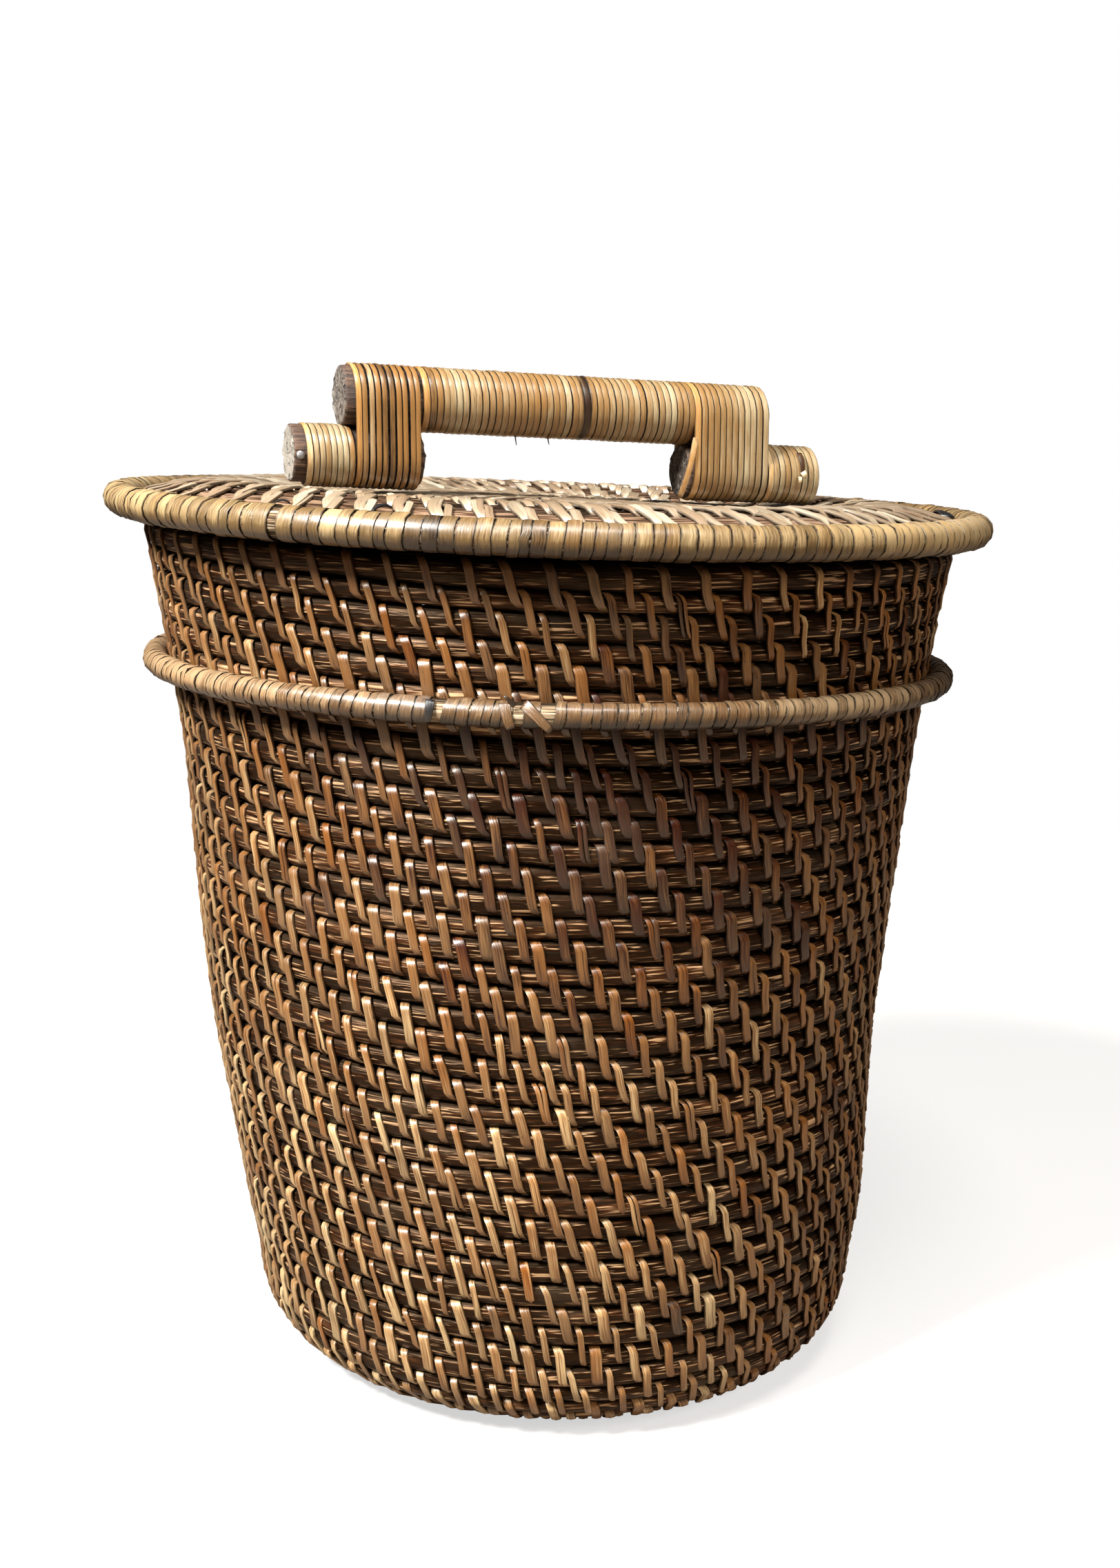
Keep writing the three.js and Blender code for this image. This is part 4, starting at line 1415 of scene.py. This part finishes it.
strand("loose_strand", (61.4 * MM, -12.4 * MM, BAR_HEIGHT - 10 * MM),
       (58.6 * MM, -15.4 * MM, STUB_HEIGHT + 1 * MM), (56.4 * MM, -8.5 * MM, STUB_HEIGHT - 11.5 * MM),
       (0, -1, 0), 2.6 * MM, HANDLE_STRAND, 0.6, 0.05)

# How far the face of the cane on the stubs lies from their middle
STUB_FACE = STUB_RADIUS + 1.6 * MM


def on_stub(x, out, up):
    """A place on the front of a stub in millimetres: along X, out of its face and above its middle."""
    return x * MM, -STUB_FACE - out * MM, STUB_HEIGHT + up * MM


strand("stub_worn_place", (112.3 * MM, -9.6 * MM, STUB_HEIGHT + 9.6 * MM), on_stub(112.4, 1, 6),
       on_stub(112.7, 0, 0.8), (0, -0.9, 0.4), 2.4 * MM, HANDLE_STRAND, 0.0, 0.3)
strand("stub_broken_end_1", on_stub(112.4, 0, 1.8), on_stub(113.1, 1.4, 0.8), on_stub(113.6, 0, -0.8),
       (0, -1, 0), 2.8 * MM, HANDLE_STRAND, 1.1, 0.3)
strand("stub_broken_end_2", on_stub(111.3, 0, -0.4), on_stub(111.3, 1.2, -1.6), on_stub(111.5, 0, -3.2),
       (0, -1, 0), 1.8 * MM, HANDLE_STRAND, 1.0, 0.3)
under_bar = BAR_HEIGHT - BAR_RADIUS
for word, x, drop in (("left", -16.5 * MM, 4.5 * MM), ("right", -2 * MM, 3.6 * MM)):
    strand("bar_splinter_" + word, (x, -2 * MM, under_bar), (x, -3 * MM, under_bar - 2 * MM),
           (x + 0.4 * MM, -3 * MM, under_bar - drop), (0, -1, 0), 0.6 * MM, HANDLE_STRAND, 0.0)


def round_place(degrees, radius, height):
    angle = from_front(degrees)
    return radius * math.cos(angle), radius * math.sin(angle), height


RING_FACE = RING_RADIUS + RING_ROD_RADIUS
RING_OUTWARDS = round_place(0.5, 1, 0)


def ring_strand(name, places, width, tone, thins, kind=RING_STRAND):
    """A strand on the belly ring. Its start, turning point and end are in degrees from the front, and
    in millimetres out of the ring's face and above its middle."""
    start, turn, end = (round_place(degrees, RING_FACE + out * MM, RING_HEIGHT + up * MM)
                        for degrees, out, up in places)
    strand(name, start, turn, end, RING_OUTWARDS, width * MM, kind, tone, thins)


ring_strand("ring_torn_strip", ((-2.4, -2, 4.4), (-1.2, 1.6, 1.5), (0.8, 0.8, -4.6)), 4.4, 0.52, 0.4)
ring_strand("ring_torn_end", ((-4.6, -2.2, 4.6), (-4.4, 0.8, 0), (-3.8, -0.6, -4.4)), 4.2, 0.5, 0.2)
ring_strand("ring_scorched_wrap", ((-13.4, -1.4, 4.4), (-13.3, 1.7, 1), (-13.6, -0.6, -3.6)), 3.4, 0.2,
            0.5, SCORCHED_ON_RING)
ring_strand("ring_frayed_end", ((-3.4, -1, 3.6), (-3.9, 2, 6), (-4.6, 1, 7.5)), 2.2, 0.1, 0.7)

# Scorched strips on the lid: degrees from the front, distance from the middle, half the length in
# degrees, and width
SCORCHED_STRIPS = (
    (84, 164.5 * MM, 3.4, 6 * MM),
    (-20.5, 163 * MM, 1.0, 2.6 * MM),
    (-35, 165 * MM, 0.9, 2 * MM),
)
for number, (degrees, radius, reach, wide) in enumerate(SCORCHED_STRIPS, 1):
    surface_height = float(lid_outline(radius, 0.0)[1])
    strand("lid_scorched_strip_%d" % number, round_place(degrees - reach, radius + 2 * MM, surface_height),
           round_place(degrees, radius, surface_height + 2.8 * MM),
           round_place(degrees + reach, radius - 2 * MM, surface_height), (0, 0, 1), wide,
           SCORCHED_ON_LID, 0.1, 0.7)

# Ties under the lid, at shares of each stub's length
TIE_SHARES = (0.3, 0.45, 0.6, 0.75)
TIE_REACH = 13 * MM
TIE_RISE = 1.5 * MM
TIE_DROP = 2 * MM
TIE_WIDTH = 3.4 * MM
TIE_GAP = 0.2 * MM
tie_height = panel_low.z - TIE_GAP
for word in ("left", "right"):
    low, high = box_of("handle_stub_" + word)
    for number, share in enumerate(TIE_SHARES, 1):
        x = low.x + (high.x - low.x) * share
        strand("stub_tie_%s_%d" % (word, number), (x, -TIE_REACH, tie_height + TIE_RISE),
               (x + MM, 0, tie_height - TIE_DROP), (x + 2 * MM, TIE_REACH, tie_height + TIE_RISE),
               (0, 0, -1), TIE_WIDTH, HANDLE_STRAND, 0.5, 0.0)

# Tack

TACK_RADIUS = 1.7 * MM
TACK_FLATNESS = 0.45
TACK_FROM_END = 2.4 * MM


def steel_finish():
    """Worn steel."""
    material, g, shader = new_material("tack_steel")
    worn = g.noise(g.place(), 4.0, 900, 2)
    g.feed(shader.inputs["Base Color"], g.mix(worn, tint(96, 92, 90), tint(196, 194, 192)))
    g.feed(shader.inputs["Roughness"], g.between(worn, 0.3, 0.7, 0.25, 0.6))
    set_inputs(shader, {"Metallic": 0.7})
    return material


bm = bmesh.new()
bmesh.ops.create_uvsphere(bm, u_segments=18, v_segments=10, radius=TACK_RADIUS)
bmesh.ops.scale(bm, vec=(1, TACK_FLATNESS, 1), verts=bm.verts)
bmesh.ops.translate(bm, vec=(left_stub_low.x + TACK_FROM_END, -STUB_RADIUS, STUB_HEIGHT), verts=bm.verts)
finish_piece("tack", mesh_of(bm, "tack"), "lid", "weathered_pole", steel_finish())


# Stage, light and camera

FLOOR_RADIUS = 1.6
FLOOR_GLOW = 0.62
# Distances between which the floor fades away
FLOOR_FADES = (0.35, 1.5)
ROOM_LIGHT = (0.055, 0.05, 0.043, 1)
WHITE = (1, 1, 1, 1)


def floor_finish():
    """Pale floor that fades into the background away from the basket."""
    material, g, shader = new_material("pale_floor")
    x, y, z = g.split(g.place())
    far = g.distance(x, y)
    seen = g.node("ShaderNodeLightPath").outputs["Is Camera Ray"]
    g.feed(shader.inputs["Base Color"], g.mix(seen, tint(124, 112, 98), tint(170, 168, 164)))
    g.feed(shader.inputs["Emission Strength"], g.times(seen, FLOOR_GLOW))
    g.feed(shader.inputs["Alpha"], g.between(far, *FLOOR_FADES, 1, 0))
    set_inputs(shader, {"Emission Color": WHITE, "Roughness": 0.9})
    return material


bm = bmesh.new()
bmesh.ops.create_circle(bm, cap_ends=True, segments=96, radius=FLOOR_RADIUS)
floor_mesh = mesh_of(bm, "floor")
floor = bpy.data.objects.new("floor", floor_mesh)
bpy.context.scene.collection.objects.link(floor)
floor_mesh.materials.append(floor_finish())


def backdrop_light():
    """White behind the basket, and a dim warm light from all sides on it."""
    world = bpy.data.worlds.new("studio")
    world.use_nodes = True
    bpy.context.scene.world = world
    g = Graph(world.node_tree)
    background = world.node_tree.nodes["Background"]
    seen = g.node("ShaderNodeLightPath").outputs["Is Camera Ray"]
    g.feed(background.inputs["Color"], g.mix(seen, ROOM_LIGHT, WHITE))
    background.inputs["Strength"].default_value = 1.0


LAMPS_FACE = Vector((0, 0, 0.2))


def softbox(name, place, size, power, warm=1.0, mirrored=True):
    """A square lamp that faces the middle of the basket; warm is its share of blue, 1 for white."""
    light = bpy.data.lights.new(name, "AREA")
    light.shape = "SQUARE"
    light.size = size
    light.energy = power
    light.color = (1, 0.5 + 0.5 * warm, warm)
    lamp = bpy.data.objects.new(name, light)
    bpy.context.scene.collection.objects.link(lamp)
    lamp.location = place
    lamp.visible_glossy = mirrored
    lamp.rotation_mode = "QUATERNION"
    lamp.rotation_quaternion = (Vector(place) - LAMPS_FACE).to_track_quat("Z", "Y")


backdrop_light()
softbox("key_light", (-1.27, -0.52, 1.6), size=0.5, power=130)
softbox("top_light", (-0.1, -0.7, 1.9), size=0.6, power=26)
softbox("fill_light", (0.9, -1.7, 1.3), size=0.8, power=28, warm=0.86, mirrored=False)

CAMERA_DISTANCE = 818 * MM
CAMERA_HEIGHT = 395.5 * MM
CAMERA_AZIMUTH = math.radians(-20)
CAMERA_PITCH = 0.186
CAMERA_ROLL = 0.016
CAMERA_PAN = -0.0036
CAMERA_LENS = 43.76
CAMERA_NEAREST = 10 * MM
lens = bpy.data.cameras.new("camera")
lens.lens = CAMERA_LENS
lens.clip_start = CAMERA_NEAREST
camera = bpy.data.objects.new("camera", lens)
bpy.context.scene.collection.objects.link(camera)
facing = Euler((math.pi / 2 - CAMERA_PITCH, 0, CAMERA_AZIMUTH + CAMERA_PAN)).to_matrix()
turned = facing @ Matrix.Rotation(CAMERA_ROLL, 3, "Z")
camera_x = CAMERA_DISTANCE * math.sin(CAMERA_AZIMUTH)
camera_y = -CAMERA_DISTANCE * math.cos(CAMERA_AZIMUTH)
camera.matrix_world = Matrix.Translation((camera_x, camera_y, CAMERA_HEIGHT)) @ turned.to_4x4()
bpy.context.scene.camera = camera
bpy.context.scene.view_settings.view_transform = "Standard"
